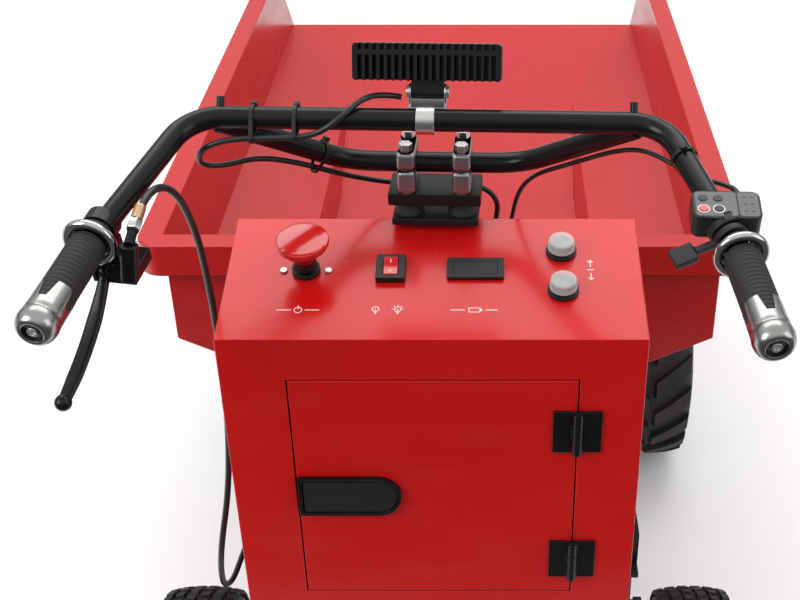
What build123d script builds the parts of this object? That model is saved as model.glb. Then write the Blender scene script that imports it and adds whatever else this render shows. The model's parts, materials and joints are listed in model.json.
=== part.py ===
from build123d import *
import math
import os

# A battery-driven wheelbarrow: a tipping steel tub over a tube frame, two driven front wheels,
# two linked trailing rear wheels, a battery cabinet with a sloping control panel and a cycle-style
# handlebar.  Millimetres; +X is the operator's right, +Y is forward, +Z is up.
# Stations (Y) are counted forward from the cabinet's rear face until the last section moves
# everything so that the origin lies under the middle of the whole machine.

os.makedirs("parts", exist_ok=True)

# ---- Driving dimensions ------------------------------------------------------------------

# fits
running_fit = 0.05          # radial, shaft in bearing
joint_gap = 0.3             # between surfaces of bodies that move on each other

# driven front wheels
front_tyre_radius = 200.0
front_tyre_width = 150.0
front_bead_radius = 101.5
front_track = 680.0         # between the middles of the two tyres
front_axle_station = 895.0
shaft_radius = 15.0
hub_flange_radius = 55.0

# rear wheels on linked knuckles
rear_tyre_radius = 140.0
rear_tyre_width = 108.0
rear_bead_radius = 63.5
rear_track = 678.0
rear_trail = 60.0           # wheel axle behind the kingpin
swivel_station = 201.0
kingpin_x = 232.0
rear_head = 65.0          # from the top of the tyre to the underside of the frame
kingpin_radius = 10.0

# frame
tube_size = 50.0
tube_wall = 3.0
rail_spacing = 340.0        # between the middles of the two rails
rail_rear_station = 20.0
plate_thick = 10.0

# cabinet
sheet = 2.0
cabinet_width = 440.0
cabinet_depth = 179.0
cabinet_height = 427.5      # from the deck to the panel's rear edge
panel_rise = 41.1           # from the panel's rear edge to its front edge
door_width = 301.0
door_height = 298.0
door_sill = 78.0            # above the deck
door_gap = 1.5
door_return = 14.0          # depth of the door's folded edge

# tub
tub_half_width = 352.0
tub_floor_half_width = 209.0
tub_rear_station = 334.0
tub_floor_end_station = 969.0
tub_lip_station = 1500.0
tub_rim_end_station = 1341.0
tub_floor_rise = 77.0       # heights above the deck, inside faces
tub_crease_rise = 142.0
tub_crease_half_width = 220.0
tub_shoulder_rise = 205.0
tub_rim_rise = 361.0
rim_width = 31.5
rim_skirt = 43.0
rim_corner = 30.0

# tipping gear
tip_angle = 50.0
tub_pivot_station = 1010.0
tub_pivot_rise = 35.0
pivot_pin_radius = 10.0
tub_rail_offset = 120.0     # of the two channels under the tub, from the middle
tub_rail_width = 40.0
tub_rail_depth = 30.0
actuator_base_station = 600.0
actuator_base_drop = 205.0  # below the deck
actuator_end_station = 885.0
actuator_end_rise = 45.0
actuator_tube_radius = 22.0
actuator_rod_radius = 11.0
actuator_pin_radius = 6.0
rod_end_float = 15.0        # slot that lets the rod end follow the tub's arc

# handlebar, heights above the deck
bar_radius = 11.1
bar_wall = 2.0
upper_bar_station = 80.0
upper_bar_rise = 632.0
upper_bar_half = 231.0
lower_bar_station = 175.0
lower_bar_rise = 540.0
lower_bar_half = 92.0
flange_half = 289.0
flange_station = -77.0
flange_rise = 582.0
grip_end_half = 306.0
grip_end_station = -196.0
grip_end_rise = 561.5
grip_radius = 16.5
grip_length = 96.0
bar_turn = -2.1             # about the riser, taken up by its rubber cones
clamp_offset = 29.5
clamp_width = 20.0

# panel items, across the panel and as stations on its slope
estop_place = (-136.0, 97.0)
rocker_place = (-46.0, 97.0)
gauge_place = (43.5, 98.0)
tip_button_x = 135.5
tip_up_station = 126.0
tip_down_station = 68.0
estop_head_radius = 28.0
estop_travel = 6.0
rocker_tilt = 9.0
rocker_key_width = 15.0
button_travel = 3.0

# lamp
lamp_width = 146.0
lamp_height = 36.0
lamp_depth = 45.0
lamp_station = 118.0
lamp_pivot_station = 112.0
lamp_pivot_rise = 648.0
lamp_aim = 20.0             # below level, at rest
lamp_tilt_back = 20.0
lamp_tilt_down = 20.0

# ---- Heights and places that follow from them --------------------------------------------

frame_underside = 2 * rear_tyre_radius + rear_head
deck = frame_underside + tube_size
axle_height = front_tyre_radius
panel_edge = deck + cabinet_height
panel_slope = math.degrees(math.atan2(panel_rise, cabinet_depth))
tub_pivot = (tub_pivot_station, deck + tub_pivot_rise)
front_wheel_x = front_track / 2
rear_x = rear_track / 2
rail_x = rail_spacing / 2


# ---- Small shape helpers -----------------------------------------------------------------

def block(x, y, z):
    """A box between two limits along each axis."""
    middle = [(pair[0] + pair[1]) / 2 for pair in (x, y, z)]
    return Pos(*middle) * Box(x[1] - x[0], y[1] - y[0], z[1] - z[0])


def rod(radius, start, end):
    """A round bar from one point to another."""
    axis = Vector(*end) - Vector(*start)
    bar = Cylinder(radius, axis.length, align=(Align.CENTER, Align.CENTER, Align.MIN))
    return Plane(origin=start, z_dir=axis).location * bar


def ring(outer, inner, start, end):
    return rod(outer, start, end) - rod(inner, start, end)


def cross_rod(radius, x, place):
    """A round bar along X between two limits, at a (station, height) place."""
    return rod(radius, (x[0], *place), (x[1], *place))


def side_plate(outline, x):
    """A (station, height) outline made as thick as the X limits."""
    face = Plane.YZ * make_face(Polyline(*outline, close=True))
    return Pos(x[0], 0, 0) * extrude(face, x[1] - x[0], dir=(1, 0, 0))


def turned(shape):
    """A piece carried by the riser, turned with the handlebar."""
    return Pos(0, lower_bar_station, 0) * Rot(0, 0, bar_turn) * Pos(0, -lower_bar_station, 0) * shape


def twin(shape):
    """A piece and its mirror image on the other side of the machine."""
    return [shape, mirror(shape, about=Plane.YZ)]


def group(*pieces):
    """Separate solids kept together in one node."""
    return Compound([solid for piece in pieces for solid in piece.solids()])


def hex_bolt(across, head, shank_radius, length):
    """A hexagon bolt: underside of the head at the origin, shank going down."""
    body = extrude(RegularPolygon(across / 2, 6, major_radius=False), head)
    return body + rod(shank_radius, (0, 0, 0), (0, 0, -length))


# ---- Wheels --------------------------------------------------------------------------------

def wheel_section(points):
    """A face in (distance along the axle, radius), turned into a ring about X."""
    return revolve(make_face(points), Axis.X)


def tyre(radius, width, bead_radius, bead_half, wall):
    """A hollow tyre about X, open between its two beads."""
    height = radius - bead_radius
    half = width / 2
    shoulder = radius - 0.14 * height

    def outline(inset, foot):
        side = half - inset
        tread = 0.86 * half - inset
        return [(foot, bead_radius), (foot, bead_radius + 0.14 * height),
                (side, bead_radius + 0.42 * height), (side, radius - 0.40 * height),
                (tread, shoulder - 0.5 * inset)]

    outer = outline(0, bead_half)
    inner = outline(wall, bead_half - wall)

    def left(points):
        return [(-x, r) for x, r in reversed(points)]

    path = [Polyline(*outer), ThreePointArc(outer[-1], (0, radius), left(outer)[0]), Polyline(*left(outer)),
            Polyline(left(outer)[-1], left(inner)[-1]), Polyline(*reversed(left(inner))),
            ThreePointArc(left(inner)[0], (0, radius - wall), inner[-1]), Polyline(*reversed(inner)),
            Polyline(inner[0], outer[0])]
    return wheel_section(path)


def rim(bead_radius, bead_half, lip, disc_x, disc_thick, bore_radius):
    """A pressed steel rim about X: a barrel, two lips and a disc with a centre hole."""
    gauge = 3.0
    outer = bead_half + gauge
    barrel = ring(bead_radius, bead_radius - gauge, (-outer, 0, 0), (outer, 0, 0))
    lips = [ring(bead_radius + lip, bead_radius - gauge, (x, 0, 0), (x + gauge, 0, 0))
            for x in (-outer, bead_half)]
    disc = ring(bead_radius - gauge, bore_radius, (disc_x, 0, 0), (disc_x + disc_thick, 0, 0))
    return barrel + lips + disc


front_bead_half = 62.0
front_disc_x = -10.0
front_disc_thick = 5.0
hub_flange_thick = 12.0
wheel_bolt_circle = 40.0
shaft_inner_end = 62.0
axle_tube_radius = 30.0
axle_bore_radius = 25.0
axle_tube_end = 236.0


def wheel_bolt_places():
    turns = [math.radians(45 + 90 * turn) for turn in range(4)]
    return [(wheel_bolt_circle * math.cos(turn), wheel_bolt_circle * math.sin(turn)) for turn in turns]


def front_wheel():
    """Tyre, rim, and the driven shaft with its flange and bolts, all about X at the origin.
    +X is outboard."""
    rubber = tyre(front_tyre_radius, front_tyre_width, front_bead_radius, front_bead_half, 12.0)
    steel = rim(front_bead_radius, front_bead_half, 11.0, front_disc_x, front_disc_thick, shaft_radius + 1)
    flange_x = front_disc_x - hub_flange_thick
    shaft = rod(shaft_radius, (shaft_inner_end - front_wheel_x, 0, 0), (front_disc_x + front_disc_thick + 4, 0, 0))
    shaft += rod(hub_flange_radius, (flange_x, 0, 0), (front_disc_x, 0, 0))
    bolts = []
    for y, z in wheel_bolt_places():
        hole = rod(6.2, (flange_x, y, z), (front_disc_x + front_disc_thick, y, z))
        steel -= hole
        shaft -= hole
        bolts.append(Pos(front_disc_x + front_disc_thick, y, z) * Rot(0, 90, 0)
                     * hex_bolt(19, 8, 6, hub_flange_thick + front_disc_thick))
    return rubber, steel, shaft, bolts


rear_bead_half = 42.0
rear_hub_radius = 22.0
rear_hub_half = 50.0
rear_axle_radius = 10.0
wheel_offset = rear_x - kingpin_x
knuckle_radius = 20.0
knuckle_low = 172.0
knuckle_arm = (27.0, 39.0)      # across, from the kingpin
king_plate_thick = 8.0
link_reach = 55.0               # of the steering lever, ahead of the kingpin
link_lever = (186.0, 198.0)
link_pin_radius = 5.0
link_radius = 8.0
link_height = 207.5


def rear_wheel():
    """Tyre and hubbed rim about X at the origin."""
    rubber = tyre(rear_tyre_radius, rear_tyre_width, rear_bead_radius, rear_bead_half, 9.0)
    bore = rear_axle_radius + running_fit
    steel = rim(rear_bead_radius, rear_bead_half, 8.0, -3.0, 6.0, rear_hub_radius - 1)
    steel += ring(rear_hub_radius, bore, (-rear_hub_half, 0, 0), (rear_hub_half, 0, 0))
    return rubber, steel


def knuckle():
    """Barrel on the kingpin, an arm down to the stub axle and a lever for the link; the kingpin
    is at the origin of X and of the station axis, and heights are real."""
    axle = (-rear_trail, rear_tyre_radius)
    top = frame_underside - king_plate_thick - joint_gap
    barrel = rod(knuckle_radius, (0, 0, knuckle_low), (0, 0, top))
    web = block((0, knuckle_arm[1]), (-17, 17), (knuckle_low + 6, 235))
    arm = side_plate([(-22, 235), (22, 235), (22, 195), (axle[0] + 24, axle[1] - 22), (axle[0] - 22, axle[1] - 22),
                      (axle[0] - 24, axle[1] + 12)], knuckle_arm)
    lever = block((-9, 9), (12, link_reach), link_lever)
    lever += rod(11, (0, link_reach, link_lever[0]), (0, link_reach, link_lever[1]))
    hub_end = wheel_offset + rear_hub_half
    stub = cross_rod(rear_axle_radius, (knuckle_arm[0], hub_end + 2), axle)
    stub += cross_rod(16, (knuckle_arm[1], wheel_offset - rear_hub_half - joint_gap), axle)
    nut = Pos(hub_end + joint_gap, *axle) * Rot(0, 90, 0) * extrude(RegularPolygon(15, 6, major_radius=False), 11)
    body = barrel + web + arm + lever + stub + nut
    body -= rod(kingpin_radius + running_fit, (0, 0, knuckle_low), (0, 0, top))
    return body - rod(link_pin_radius + running_fit, (0, link_reach, link_lever[0]), (0, link_reach, link_lever[1]))


def king_plate():
    """Plate under the outrigger with its kingpin and nut, kingpin at the origin."""
    top = frame_underside
    plate = block((-22, 22), (-45, 45), (top - king_plate_thick, top))
    pin = rod(kingpin_radius, (0, 0, top - king_plate_thick), (0, 0, knuckle_low - 14))
    nut_top = knuckle_low - joint_gap
    nut = Pos(0, 0, nut_top - 10) * extrude(RegularPolygon(14, 6, major_radius=False), 10)
    return plate + pin + nut


def steering_link():
    """Round bar between the two levers, with an eye and a pin at each end."""
    y = swivel_station + link_reach
    link = rod(link_radius, (-kingpin_x, y, link_height), (kingpin_x, y, link_height))
    for x in (-kingpin_x, kingpin_x):
        link += rod(11, (x, y, link_lever[1] + joint_gap), (x, y, link_height + link_radius))
        link += rod(link_pin_radius, (x, y, link_lever[0] - 6), (x, y, link_height))
        link += rod(8, (x, y, link_lever[0] - 6), (x, y, link_lever[0] - joint_gap))
    return link


# ---- Frame ---------------------------------------------------------------------------------

pivot_front_station = tub_pivot_station
cross_stations = (45.0, actuator_base_station, pivot_front_station)
rail_front_station = pivot_front_station + tube_size / 2
outrigger_reach = kingpin_x + 22.0


def square_tube(x, y, z, along):
    """A square tube between limits, open at both ends of the named axis."""
    limits = {"x": list(x), "y": list(y), "z": list(z)}
    outer = block(*limits.values())
    for axis, pair in limits.items():
        limits[axis] = (pair[0], pair[1]) if axis == along else (pair[0] + tube_wall, pair[1] - tube_wall)
    return outer - block(*limits.values())


def frame_rails():
    x = (rail_x - tube_size / 2, rail_x + tube_size / 2)
    return twin(square_tube(x, (rail_rear_station, rail_front_station), (frame_underside, deck), "y"))


def frame_cross_tubes():
    """Cross members between the rails, and the outriggers that carry the kingpins."""
    inside = rail_x - tube_size / 2
    outside = rail_x + tube_size / 2
    z = (frame_underside, deck)
    tubes = [square_tube((-inside, inside), (s - tube_size / 2, s + tube_size / 2), z, "x")
             for s in (*cross_stations, swivel_station)]
    y = (swivel_station - tube_size / 2, swivel_station + tube_size / 2)
    tubes += twin(square_tube((outside, outrigger_reach), y, z, "x"))
    return tubes


hanger_half = 60.0
ear_thick = 8.0
ear_gap = 2.0
actuator_base = (actuator_base_station, deck - actuator_base_drop)
actuator_end = (actuator_end_station, deck + actuator_end_rise)
actuator_eye_half = 14.0
actuator_foot_half = 24.5


def axle_hanger():
    """Plate that carries one axle tube under a rail."""
    centre = (front_axle_station, axle_height)
    x = (rail_x - plate_thick / 2, rail_x + plate_thick / 2)
    plate = side_plate([(centre[0] - hanger_half, frame_underside), (centre[0] + hanger_half, frame_underside),
                        (centre[0] + 46, centre[1]), (centre[0] - 46, centre[1])], x)
    plate += cross_rod(46, x, centre)
    return plate - cross_rod(axle_tube_radius + 0.1, x, centre)


def tub_ears():
    """Two plates on the front cross tube, one on each side of a tub lug."""
    centre = tub_pivot
    ears = []
    for side in (-1, 1):
        near = tub_rail_offset + side * (ear_thick / 2 + ear_gap)
        x = sorted((near, near + side * ear_thick))
        ear = side_plate([(centre[0] - 25, deck), (centre[0] + 25, deck),
                          (centre[0] + 18, centre[1]), (centre[0] - 18, centre[1])], x)
        ear += cross_rod(18, x, centre)
        ears.append(ear - cross_rod(pivot_pin_radius, x, centre))
    return ears


def actuator_ears():
    """Two long ears under the cross tube that hold the foot of the actuator."""
    centre = actuator_base
    ears = []
    for side in (-1, 1):
        near = side * (actuator_foot_half + ear_gap)
        x = sorted((near, near + side * ear_thick))
        ear = side_plate([(centre[0] - 25, frame_underside), (centre[0] + 25, frame_underside),
                          (centre[0] + 17, centre[1]), (centre[0] - 17, centre[1])], x)
        ear += cross_rod(17, x, centre)
        ears.append(ear - cross_rod(actuator_pin_radius, x, centre))
    return ears


def pivot_pins():
    reach = ear_thick * 1.5 + ear_gap + 3
    tub_pin = cross_rod(pivot_pin_radius, (tub_rail_offset - reach, tub_rail_offset + reach), tub_pivot)
    reach = actuator_foot_half + ear_gap + ear_thick + 3
    return twin(tub_pin) + [cross_rod(actuator_pin_radius, (-reach, reach), actuator_base)]


# ---- Drive ---------------------------------------------------------------------------------

case_half = 45.0
case_radius = 75.0
motor_place = (front_axle_station - 120.0, axle_height + 40.0)
motor_radius = 58.0


def transaxle_housing():
    """Gear case with a differential, and the two axle tubes."""
    centre = (front_axle_station, axle_height)
    circles = [Pos(*centre) * Circle(case_radius), Pos(*motor_place) * Circle(50)]
    outline = make_hull((circles[0] + circles[1]).edges())
    case = Pos(-case_half, 0, 0) * extrude(Plane.YZ * outline, 2 * case_half, dir=(1, 0, 0))
    case = fillet(case.edges().group_by(Axis.X)[0] + case.edges().group_by(Axis.X)[-1], 6)
    case += cross_rod(axle_tube_radius, (-axle_tube_end, axle_tube_end), centre)
    for side in (-1, 1):
        bore = sorted((side * (shaft_inner_end - 8), side * axle_tube_end))
        case -= cross_rod(axle_bore_radius, bore, centre)
    return case


def axle_bearings():
    centre = (front_axle_station, axle_height)
    rings = []
    for start in (shaft_inner_end + 2, axle_tube_end - 20):
        rings += twin(ring(axle_bore_radius, shaft_radius + running_fit, (start, *centre), (start + 16, *centre)))
    return rings


def drive_motor():
    body = cross_rod(motor_radius, (case_half + 8, case_half + 150), motor_place)
    body += cross_rod(44, (case_half, case_half + 8), motor_place)
    body += cross_rod(40, (case_half + 150, case_half + 166), motor_place)
    box = block((case_half + 30, case_half + 90), (motor_place[0] - 95, motor_place[0] - 40),
                (motor_place[1] - 22, motor_place[1] + 22))
    return body + box


brake_cylinder_x = -25.0
brake_cylinder_place = (850.0, axle_height + 95.0)


def brake_cylinder():
    """Hydraulic cylinder on the gear case that works the brake inside it."""
    y, z = brake_cylinder_place
    barrel = rod(13, (brake_cylinder_x, y - 32, z), (brake_cylinder_x, y + 32, z))
    nose = rod(7, (brake_cylinder_x, y - 44, z), (brake_cylinder_x, y - 32, z))
    foot = block((brake_cylinder_x - 11, brake_cylinder_x + 11), (y - 22, y + 22), (z - 60, z - 5))
    return barrel + nose + foot - transaxle_housing()


# ---- Cabinet ------------------------------------------------------------------------------

door_x = (-door_width / 2, door_width / 2)
door_z = (deck + door_sill, deck + door_sill + door_height)


def cabinet_profile(inset, x):
    """The cabinet's side outline, moved inward by the sheet thickness where asked."""
    lean = inset / math.cos(math.radians(panel_slope))
    rise = panel_rise / cabinet_depth
    rear, front = inset, cabinet_depth - inset
    return side_plate([(rear, deck + inset), (rear, panel_edge + rise * rear - lean),
                       (front, panel_edge + rise * front - lean), (front, deck + inset)], x)


def on_panel(x, station):
    """A place on the sloping panel; its local Z stands square off the sheet."""
    return Plane(origin=(x, station, panel_edge + station * panel_rise / cabinet_depth),
                 x_dir=(1, 0, 0), z_dir=(0, -panel_rise, cabinet_depth)).location


def through_panel(radius, place):
    return on_panel(*place) * Cylinder(radius, 4 * sheet)


estop_hole = 11.0
screw_span = 23.8
screw_radius = 1.6
button_hole = 11.0
rocker_size = (31.0, 36.0)
rocker_pivot_height = 3.0
rocker_pin_radius = 1.5
gauge_size = (60.6, 30.4)
cable_port_x = (56.0, 80.0)
cable_port_radius = 7.0
cable_port_height = deck + 405.0


def cabinet_shell():
    half = cabinet_width / 2
    shell = cabinet_profile(0, (-half, half)) - cabinet_profile(sheet, (-half + sheet, half - sheet))
    shell -= block((door_x[0] - door_gap, door_x[1] + door_gap), (-1, sheet + 1),
                   (door_z[0] - door_gap, door_z[1] + door_gap))
    shell -= through_panel(estop_hole, estop_place)
    for side in (-1, 1):
        shell -= on_panel(*estop_place) * Pos(side * screw_span, 0, 0) * Cylinder(screw_radius, 4 * sheet)
    shell -= on_panel(*rocker_place) * Box(rocker_size[0] - 4, rocker_size[1] - 4, 4 * sheet)
    shell -= on_panel(*gauge_place) * Box(gauge_size[0] - 4, gauge_size[1] - 4, 4 * sheet)
    for station in (tip_up_station, tip_down_station):
        shell -= through_panel(button_hole, (tip_button_x, station))
    for x in cable_port_x:
        shell -= rod(cable_port_radius, (x, cabinet_depth - 5, cable_port_height),
                     (x, cabinet_depth + 5, cable_port_height))
    return shell


def door_panel():
    """Flush door with folded edges."""
    outer = block(door_x, (0, door_return), door_z)
    inner = block((door_x[0] + sheet, door_x[1] - sheet), (sheet, door_return + 1),
                  (door_z[0] + sheet, door_z[1] - sheet))
    return outer - inner


hinge_width = 26.0
hinge_height = 54.0
hinge_leaf = 3.0
hinge_barrel_radius = 5.5
hinge_axis = (door_x[1] + door_gap / 2, -hinge_barrel_radius)
hinge_heights = (door_z[0] + 51.0, door_z[1] - 65.0)
hinge_pin_radius = 2.5


def hinge_leaf_piece(side, middle):
    """One leaf of a butt hinge.  The fixed leaf (side 1) has the two end knuckles and the moving
    leaf (side -1) has the middle one."""
    x0, y0 = hinge_axis
    low, high = middle - hinge_height / 2, middle + hinge_height / 2
    third = hinge_height / 3
    knuckles = ((low, low + third - 0.2), (high - third + 0.2, high)) if side == 1 else (
        (low + third + 0.2, high - third - 0.2),)
    near = side * (hinge_barrel_radius + 0.4)
    far = side * hinge_width
    leaf = block(sorted((x0 + near, x0 + far)), (-hinge_leaf, 0), (low, high))
    for z in knuckles:
        knuckle = rod(hinge_barrel_radius, (x0, y0, z[0]), (x0, y0, z[1]))
        knuckle += block(sorted((x0, x0 + near)), (y0 + 1, -0.1), z)
        leaf += knuckle
    fit = running_fit if side == -1 else 0
    return leaf - rod(hinge_pin_radius + fit, (x0, y0, low), (x0, y0, high))


def hinge_pin(middle):
    x0, y0 = hinge_axis
    half = hinge_height / 2
    pin = rod(hinge_pin_radius, (x0, y0, middle - half), (x0, y0, middle + half))
    return pin + rod(hinge_pin_radius + 1.5, (x0, y0, middle + half), (x0, y0, middle + half + 2))


latch_x = (door_x[0] + 1.0, door_x[0] + 113.0)
latch_z = (deck + 198.0, deck + 249.0)
latch_proud = 7.0
latch_floor = 1.2
latch_paddle_thick = 3.6
latch_paddle_back = 2.3
latch_inset = 4.4
latch_shift = 0.8          # extra clearance at the paddle's hinged end
latch_pin_radius = 1.3
latch_axis = (latch_x[0] + latch_inset + latch_shift + 2.0, -latch_paddle_back - latch_paddle_thick / 2)


def latch_outline(inset, shift=0.0):
    """D outline: square at the door's free edge, round at the other end."""
    half = (latch_z[1] - latch_z[0]) / 2 - inset
    middle = (latch_z[0] + latch_z[1]) / 2
    left = latch_x[0] + inset + shift
    right = latch_x[1] - inset - half
    lines = [Polyline((right, middle - half), (left, middle - half), (left, middle + half), (right, middle + half)),
             ThreePointArc((right, middle + half), (right + half, middle), (right, middle - half))]
    return Plane.XZ * make_face(lines)


def latch_pin(fit=0.0, slack=0.0):
    """Pin on the paddle's hinge axis, its ends in the two sides of the dish."""
    reach = 2.5 + slack
    return rod(latch_pin_radius + fit, (*latch_axis, latch_z[0] + 4 - reach), (*latch_axis, latch_z[1] - 4 + reach))


def latch_dish():
    """Raised D-shaped surround."""
    dish = extrude(latch_outline(0), latch_proud, dir=(0, -1, 0))
    dish -= Pos(0, -latch_floor, 0) * extrude(latch_outline(4), latch_proud, dir=(0, -1, 0))
    return dish - latch_pin(running_fit, 0.2)


def latch_paddle():
    """Flush paddle that is pulled out by its round end."""
    paddle = extrude(latch_outline(latch_inset, latch_shift), latch_paddle_thick, dir=(0, -1, 0))
    return Pos(0, -latch_paddle_back, 0) * paddle + latch_pin()


# ---- Cabinet contents ---------------------------------------------------------------------

battery_size = (196.0, 130.0, 158.0)
battery_station = 92.0


def batteries():
    """Two sealed 12 V batteries side by side, each with a lid and two terminal posts."""
    pieces = []
    for side in (-1, 1):
        x = sorted((side * 4, side * (4 + battery_size[0])))
        y = (battery_station - battery_size[1] / 2, battery_station + battery_size[1] / 2)
        floor = deck + sheet
        pieces.append(block(x, y, (floor, floor + battery_size[2])))
        for post in (-60, 60):
            base = ((x[0] + x[1]) / 2 + post, battery_station, floor + battery_size[2])
            pieces.append(rod(7, base, (base[0], base[1], base[2] + 14)))
    return pieces


def battery_strap():
    """Steel strap bent over both batteries, with feet on the cabinet floor."""
    top = deck + sheet + battery_size[2]
    reach = 4 + battery_size[0]
    y = (battery_station + 25, battery_station + 50)
    strap = block((-reach - 3, reach + 3), y, (top, top + 3))
    for side in (-1, 1):
        strap += block(sorted((side * reach, side * (reach + 3))), y, (deck + sheet, top + 3))
    return strap


def motor_controller():
    """Finned speed controller on a shelf plate across the cabinet's forward wall."""
    front = cabinet_depth - sheet
    z0 = deck + 240.0
    body = block((-90, 90), (front - 48, front - 6), (z0, z0 + 110))
    for step in range(9):
        fin = -72 + 18 * step
        body -= block((fin - 5, fin + 5), (front - 49, front - 34), (z0 - 1, z0 + 111))
    base = block((-100, 100), (front - 6, front), (z0 - 10, z0 + 120))
    return body + base


# ---- Panel controls -----------------------------------------------------------------------

estop_neck_radius = 12.0
estop_neck_base = 7.5
estop_spindle_radius = 6.0
estop_collar_top = 6.0
estop_collar_radius = 15.0
estop_head_base = 35.0
estop_head_height = 13.0


def estop_base():
    """Collar on the panel, threaded stem and contact block below it."""
    collar = Cylinder(estop_collar_radius, estop_collar_top, align=(Align.CENTER, Align.CENTER, Align.MIN))
    stem = Pos(0, 0, -24) * Cylinder(estop_hole - 0.2, 24, align=(Align.CENTER, Align.CENTER, Align.MIN))
    contacts = Pos(0, 0, -44) * Box(28, 34, 40)
    base = collar + stem + contacts
    floor = Align.CENTER, Align.CENTER, Align.MIN
    base -= Pos(0, 0, 1.5) * Cylinder(estop_neck_radius + joint_gap, 40, align=floor)
    base -= Pos(0, 0, -30) * Cylinder(estop_spindle_radius + joint_gap, 40, align=floor)
    return on_panel(*estop_place) * base


def estop_button():
    """Mushroom head on its neck; it presses down by the travel."""
    floor = Align.CENTER, Align.CENTER, Align.MIN
    neck = Pos(0, 0, estop_neck_base) * Cylinder(estop_neck_radius, estop_head_base - estop_neck_base + 2, align=floor)
    neck += Pos(0, 0, -22) * Cylinder(estop_spindle_radius, 30, align=floor)
    head = Pos(0, 0, estop_head_base) * Cylinder(estop_head_radius, estop_head_height, align=floor)
    head = fillet(head.edges().sort_by(Axis.Z)[-1:], 9)
    return on_panel(*estop_place) * (neck + head)


def rocker_housing():
    frame = Pos(0, 0, 4) * Box(*rocker_size, 8)
    below = Pos(0, 0, -13) * Box(rocker_size[0] - 4.4, rocker_size[1] - 4.4, 26)
    well = Pos(0, 0, 4) * Box(rocker_key_width + 1, rocker_size[1] - 10, 26)
    bore = Pos(0, 0, rocker_pivot_height) * Rot(0, 90, 0) * Cylinder(rocker_pin_radius + running_fit, rocker_key_width + 5)
    return on_panel(*rocker_place) * (frame + below - well - bore)


def rocker_key():
    """Red key, resting with its near end pressed."""
    half = rocker_size[1] / 2 - 6.5
    outline = Polyline((-half, 2), (-half, 7), (0, 5), (half, 7), (half, 2), (0, -6), close=True)
    key = Plane.YZ * make_face(outline)
    body = Pos(-rocker_key_width / 2, 0, 0) * extrude(key, rocker_key_width, dir=(1, 0, 0))
    body += Rot(0, 90, 0) * Cylinder(rocker_pin_radius, rocker_key_width + 4.6)
    return on_panel(*rocker_place) * Pos(0, 0, rocker_pivot_height) * Rot(rocker_tilt, 0, 0) * body


def battery_gauge():
    """Bezel with a dark window and the meter behind the panel."""
    bezel = Pos(0, 0, 2.5) * Box(*gauge_size, 5)
    bezel = fillet(bezel.edges().filter_by(Axis.Z), 3)
    bezel -= Pos(0, 0, 4.5) * Box(gauge_size[0] - 14, gauge_size[1] - 12, 3)
    meter = Pos(0, 0, -12) * Box(gauge_size[0] - 4.4, gauge_size[1] - 4.4, 24)
    window = Pos(0, 0, 3.9) * Box(gauge_size[0] - 14, gauge_size[1] - 12, 1.8)
    place = on_panel(*gauge_place)
    return [place * (bezel + meter), place * window]


button_bezel_radius = 16.5
button_cap_radius = 14.5
button_cap_height = 18.0


def tip_button_body(station):
    """Threaded body under the panel with a nut and a bezel above it."""
    floor = Align.CENTER, Align.CENTER, Align.MIN
    body = Cylinder(button_bezel_radius, 4, align=floor)
    body += Pos(0, 0, -30) * Cylinder(button_hole - 0.2, 30, align=floor)
    body += Pos(0, 0, -sheet - 5) * Cylinder(15, 5, align=floor)
    body -= Pos(0, 0, -10) * Cylinder(8 + joint_gap, 20, align=floor)
    return on_panel(tip_button_x, station) * body


def tip_button(station):
    """Plunger under a soft clear cap."""
    floor = Align.CENTER, Align.CENTER, Align.MIN
    stem = Pos(0, 0, -5) * Cylinder(8, 14, align=floor)
    base = 4 + button_travel + joint_gap
    cap = Pos(0, 0, base) * Cylinder(button_cap_radius, button_cap_height - base, align=floor)
    cap = fillet(cap.edges().sort_by(Axis.Z)[-1:], 3)
    return on_panel(tip_button_x, station) * (stem + cap)


# ---- Handlebar ----------------------------------------------------------------------------

upper_bar = (upper_bar_station, deck + upper_bar_rise)
lower_bar = (lower_bar_station, deck + lower_bar_rise)
bar_end = 100.0             # of the tube, past the flange


def grip_plane(side):
    """Frame of one grip: origin in the bell flange, Z toward the grip's end, X to the right."""
    start = Vector(side * flange_half, flange_station, deck + flange_rise)
    end = Vector(side * grip_end_half, grip_end_station, deck + grip_end_rise)
    axis = (end - start).normalized()
    return Plane(origin=start, x_dir=axis.cross(Vector(0, 0, 1)) * -1, z_dir=axis)


def arm_plane(side, distance):
    """Frame on the arm between the bend and the grip; the origin is a distance before the flange,
    Z points toward the grip and X to the right."""
    flange = Vector(side * flange_half, flange_station, deck + flange_rise)
    bend = Vector(side * upper_bar_half, *upper_bar)
    axis = (flange - bend).normalized()
    return Plane(origin=flange - axis * distance, x_dir=axis.cross(Vector(0, 0, 1)) * -1, z_dir=axis)


def tube_along(points, radii, outer):
    """A round solid along straight runs joined by tangent arcs."""
    path = FilletPolyline(*points, radius=radii)
    return sweep(Plane(origin=path @ 0, z_dir=path % 0) * Circle(outer), path=path)


def upper_bar_points():
    right = grip_plane(1)
    end = right.origin + right.z_dir * bar_end
    return [(-end.X, end.Y, end.Z), (-flange_half, flange_station, deck + flange_rise),
            (-upper_bar_half, *upper_bar), (upper_bar_half, *upper_bar),
            (flange_half, flange_station, deck + flange_rise), (end.X, end.Y, end.Z)]


upper_bar_radii = [60, 48, 48, 60]
weld_half = 205.0


def bar_solid():
    """The main bar without its bore."""
    return tube_along(upper_bar_points(), upper_bar_radii, bar_radius)


def handlebar_upper():
    """Main bar, with a small welded boss near each bend."""
    bar = bar_solid()
    for side in (-1, 1):
        boss = rod(4, (side * 202, upper_bar[0], upper_bar[1]), (side * 202, upper_bar[0] + 12, upper_bar[1] + 16))
        bar += boss
    return bar - tube_along(upper_bar_points(), upper_bar_radii, bar_radius - bar_wall)


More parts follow.
